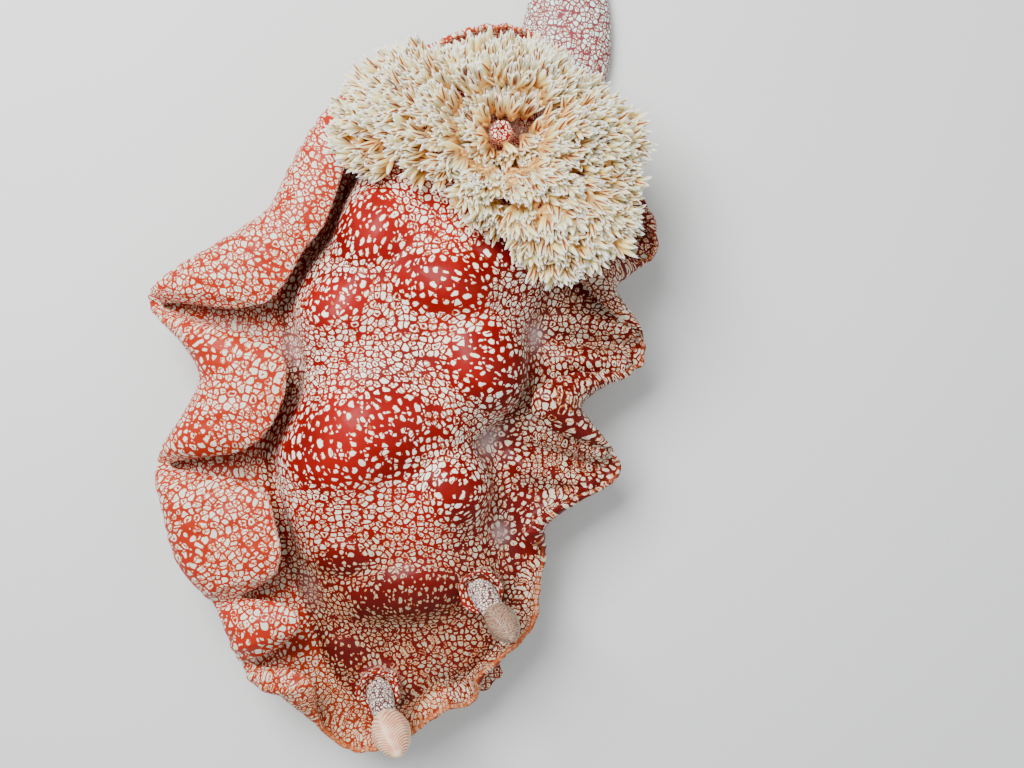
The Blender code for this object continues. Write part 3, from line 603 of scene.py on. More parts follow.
def arc_lengths(points, axis):
    """Length passed along a grid's rows or columns, from 0 at the first."""
    steps = np.linalg.norm(np.diff(points, axis=axis), axis=2)
    first = np.zeros_like(steps[:1] if axis == 0 else steps[:, :1])
    return np.concatenate([first, np.cumsum(steps, axis=axis)], axis)


def settle(flat, points, pace, rounds):
    """Springs between neighbours on a flat grid, with the lengths that they have in space times
    the pace: each round moves a point by the mean of (1 - rest / length) * distance / 2."""
    springs = []
    for down, over in ((0, 1), (1, 0), (1, 1), (1, -1)):
        rows = slice(0, flat.shape[1] - down), slice(down, None)
        if over < 0:
            columns = slice(1, None), slice(0, -1)
        else:
            columns = slice(0, flat.shape[2] - over), slice(over, None)
        a = (slice(None), rows[0], columns[0])
        b = (slice(None), rows[1], columns[1])
        rest = np.linalg.norm(points[b] - points[a], axis=3) * (pace[a] + pace[b]) / 2
        springs.append((a, b, rest))
    for _ in range(rounds):
        move = np.zeros_like(flat)
        for a, b, rest in springs:
            apart = flat[b] - flat[a]
            length = np.sqrt((apart**2).sum(3)) + 1e-6
            push = ((1 - rest / length) / 10)[..., None] * apart
            move[a] += push
            move[b] -= push
        flat = flat + move
        for seam in ((slice(None), slice(None), 0), (slice(None), 0), (slice(None), -1)):
            flat[seam] = flat[seam].mean(0)
    return flat


def fill_in(coarse, known, axis):
    """Straight lines between the rows or columns of a grid that are known."""
    every = np.arange(known[-1] + 1)
    return np.apply_along_axis(lambda line: np.interp(every, known, line), axis, coarse)


def lay_flat(sides):
    """The skin laid flat in millimetres, for its spots: both sides as one sheet.

    It starts from start + out * length passed on the ray, and springs then even it out, first
    every fourth ray and column and then all. The pace is how much flat length a length of skin
    gets: less on red skin, so that its spots lie wide apart, and more where they are small. The
    frill's lower face mirrors its upper one, because the rolls show the lower face on top."""
    points = np.stack([side[0] for side in sides])
    across = np.stack([arc_lengths(side[0], 1) for side in sides])
    out = np.stack([side[2].out[:, None, :2] for side in sides])
    start = np.stack([side[2].start[:, None] for side in sides])
    flat = start + across[..., None] * out
    zone, place = (np.stack([side[1][key] for side in sides]) for key in ("zone", "place"))
    red, frill = zone[..., 0], zone[..., 1]
    fore_and_crease_shade, front = place[..., 0], place[..., 1]
    pace = (1 - 0.5 * red) * (1 + 0.12 * frill) * (1 + 0.25 * fore_and_crease_shade) * (1 + 0.35 * front)
    pace = pace * (1 + 0.1 * ripple(points, 26, 11))
    for stride, rounds in ((4, 500), (1, 60)):
        rows = np.unique(np.append(np.arange(0, RAYS, stride), RAYS - 1))
        columns = np.unique(np.append(np.arange(0, EDGE_AT, stride), EDGE_AT))
        part = np.ix_((0, 1), rows, columns)
        coarse = settle(flat[part], points[part], pace[part], rounds)
        flat[:, :, : EDGE_AT + 1] = fill_in(fill_in(coarse, rows, 1), columns, 2)
    under = np.arange(EDGE_AT + 1, 2 * EDGE_AT - BACK_STEPS + 1)
    flat[:, :, under] = flat[:, :, 2 * EDGE_AT - under]
    last = under[-1]
    further = (across[:, :, last:] - across[:, :, last : last + 1])[..., None]
    flat[:, :, last:] = flat[:, :, last : last + 1] - further * out
    return np.pad(flat, ((0, 0), (0, 0), (0, 0), (0, 1)))


def flat_piece(grid, kind):
    """A fused piece laid flat: round its top, along its middle line, or in plan."""
    if kind == "round":
        centre = grid[-1].mean(0)[:2]
        left_over = arc_lengths(grid[::-1], 0)[::-1]
        away = unit(grid[..., :2] - centre + 1e-6)
        plan = centre + left_over[..., None] * away
    elif kind == "long":
        middle = int(grid.shape[1] * 0.43)
        sideways = arc_lengths(grid, 1)
        sideways = sideways - sideways[:, middle, None]
        plan = np.stack([sideways, arc_lengths(grid, 0)[:, middle, None] + 0 * sideways], 2)
    else:
        plan = grid[..., :2] + 0.6 * grid[..., 2:]
    return np.pad(1.25 * plan.reshape(-1, 2), ((0, 0), (0, 1)))


def paint(points, rays):
    """Values for the skin's material at each point of a side: where it is red, frill,
    edge or the animal's right, and where it is forepart or painted crease shade, front of the
    frill, body or crevice."""
    shape = points.shape[:2]
    column = np.broadcast_to(np.arange(shape[1]), shape)
    frill = ((column > CREASE_AT) & (column < ROOT_AT)).astype(float)
    across = arc_lengths(points, 1)
    to_crease = np.abs(across - across[:, CREASE_AT : CREASE_AT + 1])
    to_edge = np.abs(across - across[:, EDGE_AT : EDGE_AT + 1])
    red = knobs(points)[1] + 0.12 * ripple(points, 15, 3) + 0.08 * ripple(points, 6, 7)
    red = step(0.08, 0.62, red) * (1 - frill * 0.3)
    # The forepart is darker: partly its own tone, partly painted shade of the dimmer head end.
    fore_and_crease_shade = (1 - step(-68, -20, points[..., 1])) * (1 - frill)
    # Painted shade along the crease: it gets the dark flesh, dull cream and small spots of the forepart.
    fore_and_crease_shade = np.maximum(fore_and_crease_shade, 0.85 * np.exp(-((to_crease / 2.2) ** 2)) * (column < EDGE_AT))
    patch = step(0.35, 1.1, ripple(points, 22, 4)) * frill * step(1, 9, to_edge) * 0.7
    pale = np.zeros(shape)
    for x, y, radius in CREVICES:
        pale = np.maximum(pale, np.exp(-squared_from(points, x, y) / radius**2))
    pale = pale * np.exp(-((to_crease / 5) ** 2)) * (column < EDGE_AT)
    run = np.broadcast_to(rays.run[:, None], shape)
    front = 1 - step(24, 46, run)
    edge = (1 - step(0, 1, to_edge / mix(1.4, 2.4, front))) * frill * mix(0.45, 1, front)
    side = np.full(shape, 1.0 if rays.side < 0 else 0.0)
    body_side = 0.5 * (column > ROOT_AT)
    return {
        "zone": np.stack([np.maximum(red, patch), frill, edge, side], 2),
        "place": np.stack([fore_and_crease_shade, front * frill * mix(0.3, 1, side), body_side, pale], 2),
    }


def grid_faces(rows, columns, closed=False, flip=False, start=0):
    """Quads between neighbouring rows and columns of a grid, as an array of corner numbers."""
    i, j = np.meshgrid(np.arange(rows - 1), np.arange(columns if closed else columns - 1))
    here, k = (i * columns).T.ravel(), ((j + 1) % columns).T.ravel()
    j = j.T.ravel()
    quads = np.stack([here + j, here + k, here + columns + k, here + columns + j], 1)
    return (quads[:, ::-1] if flip else quads) + start


def new_mesh(name, points, faces, values=None):
    """An object at the origin from points in millimetres and lists of corner numbers."""
    mesh = bpy.data.meshes.new(name)
    mesh.from_pydata((np.asarray(points) * MM).tolist(), [], [list(map(int, f)) for f in faces])
    for key, value in (values or {}).items():
        add_value(mesh, key, value)
    mesh.update()
    body = bpy.data.objects.new(name, mesh)
    bpy.context.scene.collection.objects.link(body)
    return body


def add_value(mesh, key, value):
    """A vector or colour attribute on a mesh's points."""
    kind, field = {3: ("FLOAT_VECTOR", "vector"), 4: ("FLOAT_COLOR", "color")}[value.shape[1]]
    layer = mesh.attributes.new(key, kind, "POINT")
    layer.data.foreach_set(field, value.astype(np.float32).ravel())


def close_mesh(body, distance=0.01):
    """Merges doubles and turns the faces outwards."""
    shape = bmesh.new()
    shape.from_mesh(body.data)
    bmesh.ops.remove_doubles(shape, verts=shape.verts, dist=distance * MM)
    bmesh.ops.recalc_face_normals(shape, faces=shape.faces)
    if shape.calc_volume(signed=True) < 0:
        bmesh.ops.reverse_faces(shape, faces=shape.faces)
    shape.to_mesh(body.data)
    shape.free()
    body.data.update()


def plain_values(grid, kind, **changes):
    """Painting values for a fused piece: none but those named."""
    count = grid.shape[0] * grid.shape[1]
    zone = np.zeros((count, 4))
    place = np.zeros((count, 4))
    for key, value in changes.items():
        target, column = {"red": (zone, 0), "front": (place, 1), "body": (place, 2)}[key]
        target[:, column] = value
    return {"zone": zone, "place": place, "hide": flat_piece(grid, kind)}


def tail_grid():
    """The tail as rings with a flat sole: half an ellipse over each point of its middle line."""
    length = chord_length(TAIL_LINE)
    share = np.linspace(-0.12, 1, 70)
    centre, along = natural_curve(TAIL_LINE, share * length)
    centre = centre + along * (np.minimum(share, 0) * length)[:, None]
    across = np.stack([along[:, 1], -along[:, 0]], 1)
    width = smooth_steps(TAIL_WIDTH, share, 1)[:, None]
    width = width * np.sqrt(np.clip(1 - np.clip((share - 0.97) / 0.0305, 0, 1) ** 2, 0, 1))[:, None]
    height = smooth_steps(TAIL_HEIGHT, share, 1)[:, None]
    over = np.linspace(0, math.pi, 33)
    rim = FOOT_EDGE_HEIGHT * np.minimum(1, height / 6)
    sole = np.array((-1, -0.5, 0, 0.5, 1)) * (width - 1.2)
    sideways = np.concatenate([width * np.cos(over), sole], 1)
    z = np.concatenate([rim + (height - rim) * np.sin(over) ** 0.9, 0 * sole], 1)
    plan = centre[:, None, :] + sideways[:, :, None] * across[:, None, :]
    return np.concatenate([plan, z[:, :, None]], 2)


def capped(points):
    """Points and faces of a tube-like grid of rings, with each end closed by one face, unless the
    tube runs back into itself."""
    rows, columns = points.shape[:2]
    faces = [list(f) for f in grid_faces(rows, columns, True)]
    if not np.allclose(points[0], points[-1]):
        faces += [list(range(columns)), list(range((rows - 1) * columns, rows * columns))]
    return points.reshape(-1, 3), faces


def head_frame():
    """The head end of the spine, with the directions forward and to the animal's left."""
    start, along = natural_curve(SPINE, np.array([0.0]))
    forward = np.array((-along[0, 0], -along[0, 1], 0))
    left = np.array((along[0, 1], -along[0, 0], 0))
    return np.array((*start[0], 0)), forward, left


def ball(centre, axes, sizes, rings=24, sides=32):
    """An ellipsoid: centre plus its three axes by the sizes, by latitude and longitude."""
    a = np.linspace(0, math.pi, rings)[:, None]
    b = around(sides)[None, :]
    parts = (np.sin(a) * np.cos(b), np.sin(a) * np.sin(b), np.cos(a) + 0 * b)
    return centre + sum((p * s)[:, :, None] * v for p, s, v in zip(parts, sizes, axes))


def ring(centre, axes, major, minor, squash, rings=48, sides=14):
    """A torus round the third axis: its ring is an ellipse with the given share of height."""
    big = around(rings)[:, None]
    small = around(sides)[None, :]
    r = major + minor * np.cos(small)
    parts = (r * np.cos(big), r * np.sin(big) * squash, minor * np.sin(small) + 0 * big)
    points = centre + sum(p[:, :, None] * v for p, v in zip(parts, axes))
    return np.concatenate([points, points[:1]], 0)


def tentacle_grid(side):
    """An oral tentacle: a round root that widens into a flat fan with a scalloped edge."""
    start, forward, left = head_frame()
    turn = TENTACLE_TURN * side
    out = forward * math.cos(turn) + left * math.sin(turn)
    across = np.array((-out[1], out[0], 0))
    origin = start + forward * (SNOUT_REACH - 2) + UP * SNOUT_HEIGHT
    radius, first = TENTACLE_ROOT
    share = np.linspace(0, 1, 34)
    turn = around(48)
    width = mix(radius, TENTACLE_SPREAD, step(0.1, 1, share))
    thick = mix(TENTACLE_THICK[0], TENTACLE_THICK[1], share**0.6) / 2
    thick = thick * np.sqrt(np.clip(1 - np.clip((share - 0.92) / 0.081, 0, 1) ** 2, 0.02, 1))
    sideways = width[:, None] * np.cos(turn)
    scallop = 1 + 0.05 * np.cos(TENTACLE_LOBES * math.pi * np.cos(turn))
    reach = share[:, None] * (scallop - 0.32 * np.cos(turn) ** 2) * TENTACLE_LENGTH
    groove = 0.15 * share[:, None] * np.cos(TENTACLE_LOBES * math.pi * np.cos(turn))
    lift = 1.5 * share[:, None] ** 2 * np.cos(turn) ** 2
    z = (thick[:, None] + groove) * np.sin(turn) + lift
    points = origin + (first + reach)[:, :, None] * out
    return points + sideways[:, :, None] * across + z[:, :, None] * UP


def collar(x, y, top):
    """A rhinophore's sheath: a stout tube with a rolled rim and a hollow in its top."""
    widths = (7.2, 7.0, 6.5, 6.6, 7.1, 7.3, 7.0, 6.4, 5.6, STALK_RADIUS * 1.08, STALK_RADIUS * 0.5)
    rises = (-16, -8, -4, -1.5, -0.3, 0.4, 0.9, 0.8, -0.1, -1.6, -2.2)
    heights = top + np.array(rises)[:, None]
    turn = around(64)
    rim = step(top - 6, top, heights)
    r = np.array(widths)[:, None] * (1 + 0.035 * rim * np.sin(5 * turn + x))
    return turned(x, y, r, heights + 0.7 * rim * np.sin(2 * turn + y))


def papilla_grid():
    """The anal papilla: a short upright tube whose top is hollowed and lobed."""
    radius, top = PAPILLA
    heights = np.array((28, 36, 40, 43.5, top - 0.8, top, top - 0.5, top - 2.2))
    widths = radius * np.array((1.6, 1.5, 1.2, 1.0, 0.95, 0.72, 0.45, 0.12))
    r = widths[:, None] * (1 + 0.07 * np.cos(6 * around(36)) * step(38, 46, heights)[:, None])
    return turned(*RING, r, heights[:, None])


def gill_foot(azimuth):
    """Where a gill's trunk leaves the ring, in plan."""
    angle = math.radians(azimuth)
    return RING[0] + RING_RADIUS * math.cos(angle), RING[1] + RING_RADIUS * math.sin(angle)


def seat_grid(azimuth):
    """A low flesh cone under a gill's trunk."""
    heights = np.array((26, 33, 38, GILL_TOP - 0.5, GILL_TOP, GILL_TOP - 0.1))
    widths = np.array((7.0, 6.0, 4.9, 4.0, 3.4, 0.4))
    return turned(*gill_foot(azimuth), widths[:, None] * np.ones(28), heights[:, None])


def fused_flesh():
    """The flesh that is fused to the body: grids, how each is laid flat, and painting values.
    The mouth, which is cut out of it, comes with it."""
    start, forward, left = head_frame()
    middle = start + forward * SNOUT_REACH + UP * SNOUT_HEIGHT
    face = middle + forward * (SNOUT_SIZE[1] - FACE_DEPTH)
    sheaths = [foot for foot, _tip, _club in RHINOPHORES.values()]
    pieces = [
        (tail_grid(), "long", {"body": 0.9}),
        (ball(middle, (left, forward, UP), SNOUT_SIZE), "plan", {"front": 0.6}),
        (papilla_grid(), "round", {"red": 0.2}),
        *((tentacle_grid(side), "plan", {"front": 0.6}) for side in (1, -1)),
        *((collar(*foot), "round", {"red": 0.85, "front": 0.5}) for foot in sheaths),
        *((seat_grid(azimuth), "round", {}) for azimuth, _reach, _height in GILLS),
        (ring(face, (left, UP, forward), *LIPS_SIZE, 0.75), "plan", {"front": 0.3}),
    ]
    return pieces, ball(face + forward * 1.2, (left, UP, forward), MOUTH_SIZE, 12, 20)


def make_skin():
    """The whole skin: both halves as one closed surface, with the other flesh fused to it."""
    halves = [skin_half(1), skin_half(-1)]
    for half, flat in zip(halves, lay_flat(halves)):
        half[1]["hide"] = flat
    points = np.concatenate([half[0].reshape(-1, 3) for half in halves])
    values = {
        key: np.concatenate([half[1][key].reshape(len(points) // 2, -1) for half in halves])
        for key in ("zone", "place", "hide")
    }
    rows, columns = halves[0][0].shape[:2]
    left = grid_faces(rows, columns)
    right = grid_faces(rows, columns, flip=True, start=rows * columns)
    skin = new_mesh("skin", points, np.concatenate([left, right]))
    close_mesh(skin)
    pieces, mouth = fused_flesh()
    tubes = [capped(grid) for grid, _kind, _zones in pieces]
    fuse(skin, tubes, "UNION")
    fuse(skin, [capped(mouth)], "DIFFERENCE")
    relax_joins(skin)
    sources = [(points, values)]
    for (flat, _faces), (grid, kind, zones) in zip(tubes, pieces):
        sources.append((flat, plain_values(grid, kind, **zones)))
    copy_values(skin, sources)
    skin.data.shade_smooth()
    return skin


def fuse(body, tubes, operation):
    """Applies one Boolean of closed tubes, each given as points and faces, to a body."""
    cutters = bpy.data.collections.new("flesh")
    bpy.context.scene.collection.children.link(cutters)
    for number, (points, faces) in enumerate(tubes):
        piece = new_mesh(f"flesh_{number}", points, faces)
        close_mesh(piece)
        bpy.context.scene.collection.objects.unlink(piece)
        cutters.objects.link(piece)
    change = body.modifiers.new("fuse", "BOOLEAN")
    change.operation = operation
    change.operand_type = "COLLECTION"
    change.collection = cutters
    change.solver = "MANIFOLD"
    graph = bpy.context.evaluated_depsgraph_get()
    joined = bpy.data.meshes.new_from_object(body.evaluated_get(graph))
    body.modifiers.clear()
    body.data = joined
    for piece in list(cutters.objects):
        bpy.data.objects.remove(piece)
    bpy.data.collections.remove(cutters)


def coordinates(mesh):
    """A mesh's points in millimetres."""
    flat = np.empty(len(mesh.vertices) * 3)
    mesh.vertices.foreach_get("co", flat)
    return flat.reshape(-1, 3) / MM


def relax_joins(skin):
    """Blends what was fused into the skin: averaging along edges, close to each join."""
    mesh = skin.data
    points = coordinates(mesh)
    pairs = np.empty(len(mesh.edges) * 2, int)
    mesh.edges.foreach_get("vertices", pairs)
    a, b = pairs.reshape(-1, 2).T
    weight = np.zeros(len(points))
    # Each upright joint: its place, its radius, how wide the blend is, and where it ends above.
    joints = [(x, y, SHEATH_RADIUS * 1.1, 2.5, top - 2.5) for (x, y, top), *_club in RHINOPHORES.values()]
    joints += [(*gill_foot(azimuth), 5, 2.2, GILL_TOP - 1.5) for azimuth, _reach, _height in GILLS]
    joints.append((*RING, 5, 2.0, 44))
    for x, y, radius, wide, top in joints:
        r = np.hypot(points[:, 0] - x, points[:, 1] - y)
        weight += np.exp(-(((r - radius) / wide) ** 2)) * (points[:, 2] < top)
    plane, along = natural_curve(SPINE, np.array([SPINE_LENGTH]))
    behind = (points[:, :2] - plane[0]) @ along[0] - REAR_FLAT
    weight += np.exp(-((behind / 3.0) ** 2)) * (points[:, 2] < 14)
    flat = points[:, 2] < 0.01
    weight = np.clip(weight, 0, 0.8)[:, None]
    count = np.bincount(a, minlength=len(points)) + np.bincount(b, minlength=len(points))
    for _ in range(JOIN_ROUNDS):
        total = np.zeros_like(points)
        for axis in range(3):
            total[:, axis] = np.bincount(a, points[b, axis], len(points))
            total[:, axis] += np.bincount(b, points[a, axis], len(points))
        mean = total / np.maximum(count, 1)[:, None]
        mean[flat, 2] = 0
        points = mix(points, mean, weight)
    mesh.vertices.foreach_set("co", (points * MM).ravel())
    mesh.update()


def copy_values(skin, sources):
    """Gives each point of the fused skin the painting values of the nearest point it came from."""
    points = np.concatenate([flat for flat, _values in sources])
    tree = kdtree.KDTree(len(points))
    for number, place in enumerate(points):
        tree.insert(place, number)
    tree.balance()
    found = coordinates(skin.data)
    nearest = [tree.find(place)[1] for place in found]
    for key in sources[0][1]:
        value = np.concatenate([values[key] for _flat, values in sources])[nearest]
        if key == "hide":
            value[:, :2] += (found - points[nearest])[:, :2]
            value = value * MM
        add_value(skin.data, key, value)


def tube_grid(centres, radii, sides):
    """Rings round paths: paths by points by 3, with each ring square to its path."""
    along = unit(np.gradient(centres, axis=-2))
    level = unit(np.cross(along, UP + 0.01))
    up = np.cross(level, along)
    turn = around(sides)[:, None]
    rings = level[..., None, :] * np.cos(turn) + up[..., None, :] * np.sin(turn)
    return centres[..., None, :] + radii[..., None, None] * rings


def many_faces(count, rings, sides):
    """Outward faces of many like tubes of rings that turn clockwise round their way on, with a fan
    of triangles over each end."""
    one = grid_faces(rings, sides, True, flip=True)
    last = (rings - 1) * sides
    caps = [(0, k, k + 1) for k in range(1, sides - 1)]
    caps += [(last, last + k + 1, last + k) for k in range(1, sides - 1)]
    starts = np.arange(count)[:, None, None] * rings * sides
    quads = (one[None] + starts).reshape(-1, 4)
    ends = (np.array(caps)[None] + starts).reshape(-1, 3)
    return [list(f) for f in quads] + [list(f) for f in ends]


def trunk_path(reach, tip_height, count):
    """The trunk's middle line in its own frame: along the azimuth, across it and up."""
    share = np.linspace(0, 1, count)
    along = RING_RADIUS + (0.8 * reach - RING_RADIUS) * share**1.35
    height = GILL_TOP - 1.5 + (tip_height - GILL_TOP + 1.5) * share
    height = height + GILL_ARCH * np.sin(math.pi * share**0.6)
    return np.stack([along, np.zeros(count), height], 1)


def gill_sector(number):
    """Half angles of a gill's sector, up to the bisectors with its neighbours."""
    azimuths = [row[0] for row in GILLS]
    before = azimuths[number - 1] - (360 if number == 0 else 0)
    after = azimuths[(number + 1) % len(GILLS)] + (360 if number == len(GILLS) - 1 else 0)
    own = azimuths[number]
    return math.radians(own - before) / 2, math.radians(after - own) / 2


def reach_at(number, angle):
    """How far the gills reach in directions given as angles from one gill's azimuth."""
    first = GILL_REACH[0][0]
    azimuth = (np.degrees(angle) + GILLS[number][0] - first) % 360 + first
    return smooth_steps(GILL_REACH, azimuth, 1)


def place_gill(p, number):
    """Points of a plume squeezed into its sector and turned to its azimuth round the ring."""
    azimuth = math.radians(GILLS[number][0])
    clockwise, counter = gill_sector(number)
    half = np.where(p[..., 1] > 0, counter, clockwise) * 1.6
    room = np.maximum(p[..., 0], 4) * np.tan(np.minimum(half, 1.2))
    across = room * np.tanh(p[..., 1] / room)
    x = RING[0] + p[..., 0] * math.cos(azimuth) - across * math.sin(azimuth)
    y = RING[1] + p[..., 0] * math.sin(azimuth) + across * math.cos(azimuth)
    return np.stack([x, y, p[..., 2]], -1)


def stem_from(root, end, sag):
    """Four points on a curve from root to end that bends upwards by the given height."""
    t = np.linspace(0, 1, 4)[None, :, None]
    path = root[:, None] * (1 - t) + end[:, None] * t
    path[..., 2] += sag * np.sin(math.pi * t[..., 0])
    return path


def make_plume(number, floor):
    """A gill: a trunk, branches to both sides, and twigs that end in hands of pointed leaflets.

    The hands are spread evenly over the gill's sector of the ring, and overlap like thatch."""
    _azimuth, reach, tip_height = GILLS[number]
    clockwise, counter = gill_sector(number)
    draw = np.random.default_rng(40 + number)
    trunk = trunk_path(reach, tip_height, 12)
    heights = (trunk[:, 0], trunk[:, 2])
    count = int((clockwise + counter) * GILL_SPAN**2 / 2 / HAND_AREA)
    outward = GILL_SPAN * draw.uniform(0.022, 1, count) ** 0.62
    angle = draw.uniform(-clockwise, counter, count) * 1.06
    limit = reach_at(number, angle) - 6
    kept = outward < limit
    outward, angle, limit = outward[kept], angle[kept], limit[kept]
    count = len(outward)
    # A hand's base lies on a low dome over the trunk, in its own depth of the thatch.
    depth = draw.uniform(0, 1, count)
    hands = np.stack([outward * np.cos(angle), outward * np.sin(angle), np.zeros(count)], 1)
    dome = np.interp(outward, *heights) - 0.003 * hands[:, 1] ** 2 + 1.5
    hands[:, 2] = dome - THATCH_DEPTH * depth
    hands[:, 2] -= 5 * step(0.75, 1.0, outward / limit)
    # The hands next to the ring stand on the trunk and hide it.
    near = outward < TUFT_REACH
    hands[near, 1] *= 0.75
    hands[near, 2] += 2.0
    splits = np.repeat(np.linspace(0.1, 0.9, BRANCH_PAIRS), 2)
    sides = np.tile((-clockwise, counter), BRANCH_PAIRS) * draw.uniform(0.5, 0.75, 2 * BRANCH_PAIRS)
    roots = np.stack([np.interp(splits, np.linspace(0, 1, 12), trunk[:, k]) for k in range(3)], 1)
    far = np.minimum(roots[:, 0] + 9, reach_at(number, sides) - 9)
    ends = np.stack([far * np.cos(sides), far * np.sin(sides)], 1)
    ends = np.append(ends, roots[:, 2:] - 2.5, 1)
    branches = stem_from(roots, ends, 1.0)
    # Each twig leaves the nearest wood that doesn't lie much further out than its hand.
    wood = np.concatenate([trunk, branches.reshape(-1, 3)])
    span = np.linalg.norm(hands[:, None] - wood[None], axis=2)
    span += 3 * np.maximum(np.linalg.norm(wood[None, :, :2], axis=2) - outward[:, None] + 3, 0)
    twigs = stem_from(wood[span.argmin(1)], hands, -0.8)
    # A hand's leaflets fan out round its aim, and those in its middle stand up most.
    fingers = draw.integers(5, 8, count)
    hand_of = np.repeat(np.arange(count), fingers)
    order = np.concatenate([np.linspace(-1, 1, n) for n in fingers])
    aim_angle = angle + draw.normal(0, 0.24, count)
    aim_angle = aim_angle[hand_of] + order * 0.6 + draw.normal(0, 0.1, len(order))
    rise = mix(0.95, 0.35, step(6, 40, outward)) * draw.uniform(0.6, 1.3, count)
    rise = rise[hand_of] + draw.uniform(-0.15, 0.25, len(order)) + 0.15 * (1 - order**2)
    aims = unit(np.stack([np.cos(aim_angle), np.sin(aim_angle), rise], 1))
    ups = unit(UP + 0.15 * draw.normal(size=(len(order), 3)))
    roots = hands[hand_of] - aims * draw.uniform(0, 1.2, (len(order), 1))
    leaves, shades = leaflets(roots, aims, ups, draw)
    # What would lie in the skin is raised as a whole until it clears it.
    lift = lift_over(place_gill(leaves, number), floor)
    leaves[..., 2] += lift[:, None, None]
    faces = many_faces(*leaves.shape[:3])
    points = [leaves.reshape(-1, 3)]
    colours = [shades.reshape(-1, 4)]
    patches = [leaf_patches(hands[hand_of], reach, leaves.shape, number)]
    total = len(points[0])
    for paths, thick, thin, sides in (
        (trunk[None] - (0, 0, 1.5), 2.2, 0.9, 12),
        (branches, 1.0, 0.6, 8),
        (twigs, 0.5, 1.15, 6),
    ):
        radii = np.linspace(thick, thin, paths.shape[1]) * np.ones(paths.shape[:2])
        tubes = tube_grid(paths, radii, sides)
        faces += [[corner + total for corner in face] for face in many_faces(*tubes.shape[:3])]
        flat = tubes.reshape(-1, 3)
        points.append(flat)
        colours.append(np.tile((0.3, 0.0, 0.5, 0.0), (len(flat), 1)))
        patches.append(leaf_patches(paths[:, 0], reach, tubes.shape, number))
        total += len(flat)
    placed = place_gill(np.concatenate(points), number)
    plume = new_mesh(f"plume_{number + 1}", placed, faces, {"leaf": np.concatenate(colours)})
    give_patches(plume.data, np.concatenate(patches))
    plume.data.shade_smooth()
    return plume


def leaflets(roots, aims, ups, draw):
    """Flat pointed leaflets: ellipses across a bent midrib, narrow at the root and at the tip.

    leaf holds the share along the leaflet, closeness to the midrib on top, and a random value."""
    count = len(roots)
    share = np.array((0, 0.14, 0.32, 0.52, 0.72, 0.88, 1.0))
    profile = np.array((0.7, 0.85, 0.97, 1.0, 0.82, 0.52, 0.1))
    length = LEAFLET[0] * draw.uniform(0.8, 1.25, count)
    width = LEAFLET[1] * draw.uniform(0.8, 1.2, count) / 2
    thick = LEAFLET[2] / 2
    across = unit(np.cross(aims, ups))
    up = np.cross(across, aims)
    bend = draw.uniform(-0.06, 0.22, count)
    drift = draw.uniform(-0.14, 0.14, count)
    run = share[None, :, None]
    centres = roots[:, None] + length[:, None, None] * (
        run * aims[:, None]
        + run**2 * (bend[:, None, None] * up[:, None] + drift[:, None, None] * across[:, None])
    )
    # The section of a leaflet is a flat ellipse, cupped downwards.
    turn = around(6) + math.pi / 6
    c, s = np.cos(turn)[:, None], np.sin(turn)[:, None]
    level, above, half = across[:, None, None], up[:, None, None], width[:, None, None, None]
    taper = profile[:, None, None]
    rings = half * taper * (1.15 * c * level - 0.3 * c**2 * above) + thick * taper**0.5 * s * above
    points = centres[:, :, None] + rings
    shade = np.zeros((*points.shape[:3], 4))
    shade[..., 0] = share[None, :, None]
    shade[..., 1] = np.clip(np.sin(turn), 0, 1)[None, None, :]
    shade[..., 2] = draw.uniform(0, 1, count)[:, None, None]
    shade[..., 3] = 1
    return points, shade


def lift_over(placed, floor):
    """How far each leaflet has to rise to clear the skin below it."""
    cells, low, pitch = floor
    i = np.clip(((placed[..., :2] - low) / pitch).astype(int), 0, np.array(cells.shape) - 1)
    gap = cells[i[..., 0], i[..., 1]] + 0.5 - placed[..., 2]
    return np.clip(gap.reshape(len(placed), -1).max(1), 0, 12)


def skin_floor(skin):
    """Height of the skin over a level grid of cells: the highest point in each."""
    points = coordinates(skin.data)
    pitch = 2.0
    low = points[:, :2].min(0) - 30
    size = ((points[:, :2].max(0) + 30 - low) / pitch).astype(int) + 1
    cells = np.zeros(size)
    i = ((points[:, :2] - low) / pitch).astype(int)
    np.maximum.at(cells, (i[:, 0], i[:, 1]), points[:, 2])
    return cells, low, pitch


def leaf_patches(roots, reach, shape, number):
    """Patch coordinates, one small patch a leaflet or stem, at its root's place on the plume:
    across the sector and out along the reach, each plume in a strip of its own."""
    u = (number + 0.5 + 0.42 * np.tanh(roots[:, 1] / 20)) / len(GILLS)
    v = np.clip(roots[:, 0] / (reach * 1.25), 0.02, 0.98)
    rings, sides = (np.linspace(-0.5, 0.5, count) for count in shape[1:3])
    patch = np.zeros((*shape[:3], 2))
    patch[..., 0] = u[:, None, None] + PATCH_SIZE * sides
    patch[..., 1] = v[:, None, None] + PATCH_SIZE * rings[:, None]
    return patch.reshape(-1, 2)


def give_patches(mesh, patches):
    """The patch coordinates as a UV map, from one pair for each point."""
    corners = np.empty(len(mesh.loops), int)
    mesh.loops.foreach_get("vertex_index", corners)
    layer = mesh.uv_layers.new(name="OFBake")
    layer.data.foreach_set("uv", patches[corners].astype(np.float32).ravel())


